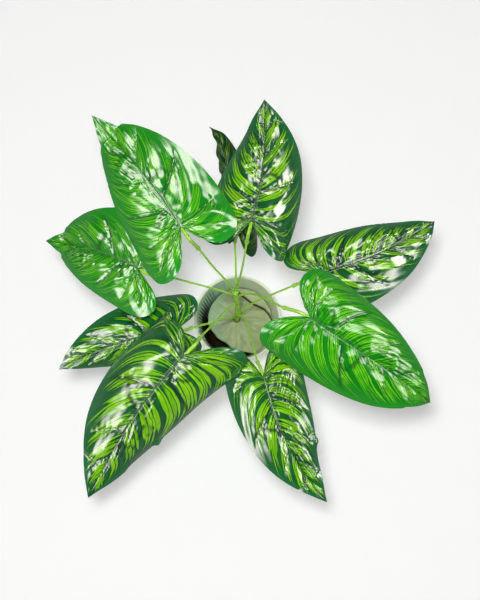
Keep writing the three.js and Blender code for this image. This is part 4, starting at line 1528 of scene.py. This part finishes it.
def pale_world(scene):
    """Pale all round to the camera, dimmer as light and in reflections."""
    world = bpy.data.worlds.new("pale room")
    world.use_nodes = True
    scene.world = world
    n = Nodes(world.node_tree)
    seen = n.add("ShaderNodeLightPath", output="Is Camera Ray")
    glossy = n.add("ShaderNodeLightPath", output="Is Glossy Ray")
    bright = seen * ROOM_SEEN + ROOM_LIGHT - glossy * ROOM_GLOSS
    sky = n.add("ShaderNodeBackground", {"Color": (1, 1, 1), "Strength": bright})
    output = world.node_tree.nodes.new("ShaderNodeOutputWorld")
    world.node_tree.links.new(sky.socket, output.inputs[0])


# Panel and registration

class ALOCASIA_PT_panel(bpy.types.Panel):
    """Lists the steps in the order in which the plant is built"""

    bl_label = "Potted alocasia"
    bl_idname = "ALOCASIA_PT_panel"
    bl_space_type = "VIEW_3D"
    bl_region_type = "UI"
    bl_category = "Alocasia"

    def draw(self, context):
        for step in STEPS:
            self.layout.operator(step.bl_idname)
        for name in SETTINGS:
            group = getattr(context.scene, name)
            box = self.layout.box()
            for key in group.bl_rna.properties.keys():
                if key not in {"rna_type", "name"}:
                    box.prop(group, key)


STEPS = [ALOCASIA_OT_stage, ALOCASIA_OT_pot, ALOCASIA_OT_filling, ALOCASIA_OT_stalks,
         ALOCASIA_OT_leaves]
SETTINGS = {
    "alocasia_blades": BladeSettings,
    "alocasia_dark": DarkLeafSettings,
    "alocasia_bright": BrightLeafSettings,
    "alocasia_stalks": StalkSettings,
    "alocasia_pot": PotSettings,
    "alocasia_stage": StageSettings,
}


def register():
    for kind in [*SETTINGS.values(), *STEPS, ALOCASIA_PT_panel]:
        bpy.utils.register_class(kind)
    for name, kind in SETTINGS.items():
        setattr(bpy.types.Scene, name, PointerProperty(type=kind))


def unregister():
    for name in SETTINGS:
        delattr(bpy.types.Scene, name)
    for kind in reversed([*SETTINGS.values(), *STEPS, ALOCASIA_PT_panel]):
        bpy.utils.unregister_class(kind)


def main():
    register()
    bpy.ops.alocasia.stage()
    bpy.ops.alocasia.pot()
    bpy.ops.alocasia.filling()
    bpy.ops.alocasia.stalks()
    bpy.ops.alocasia.leaves()


if __name__ == "__main__":
    main()
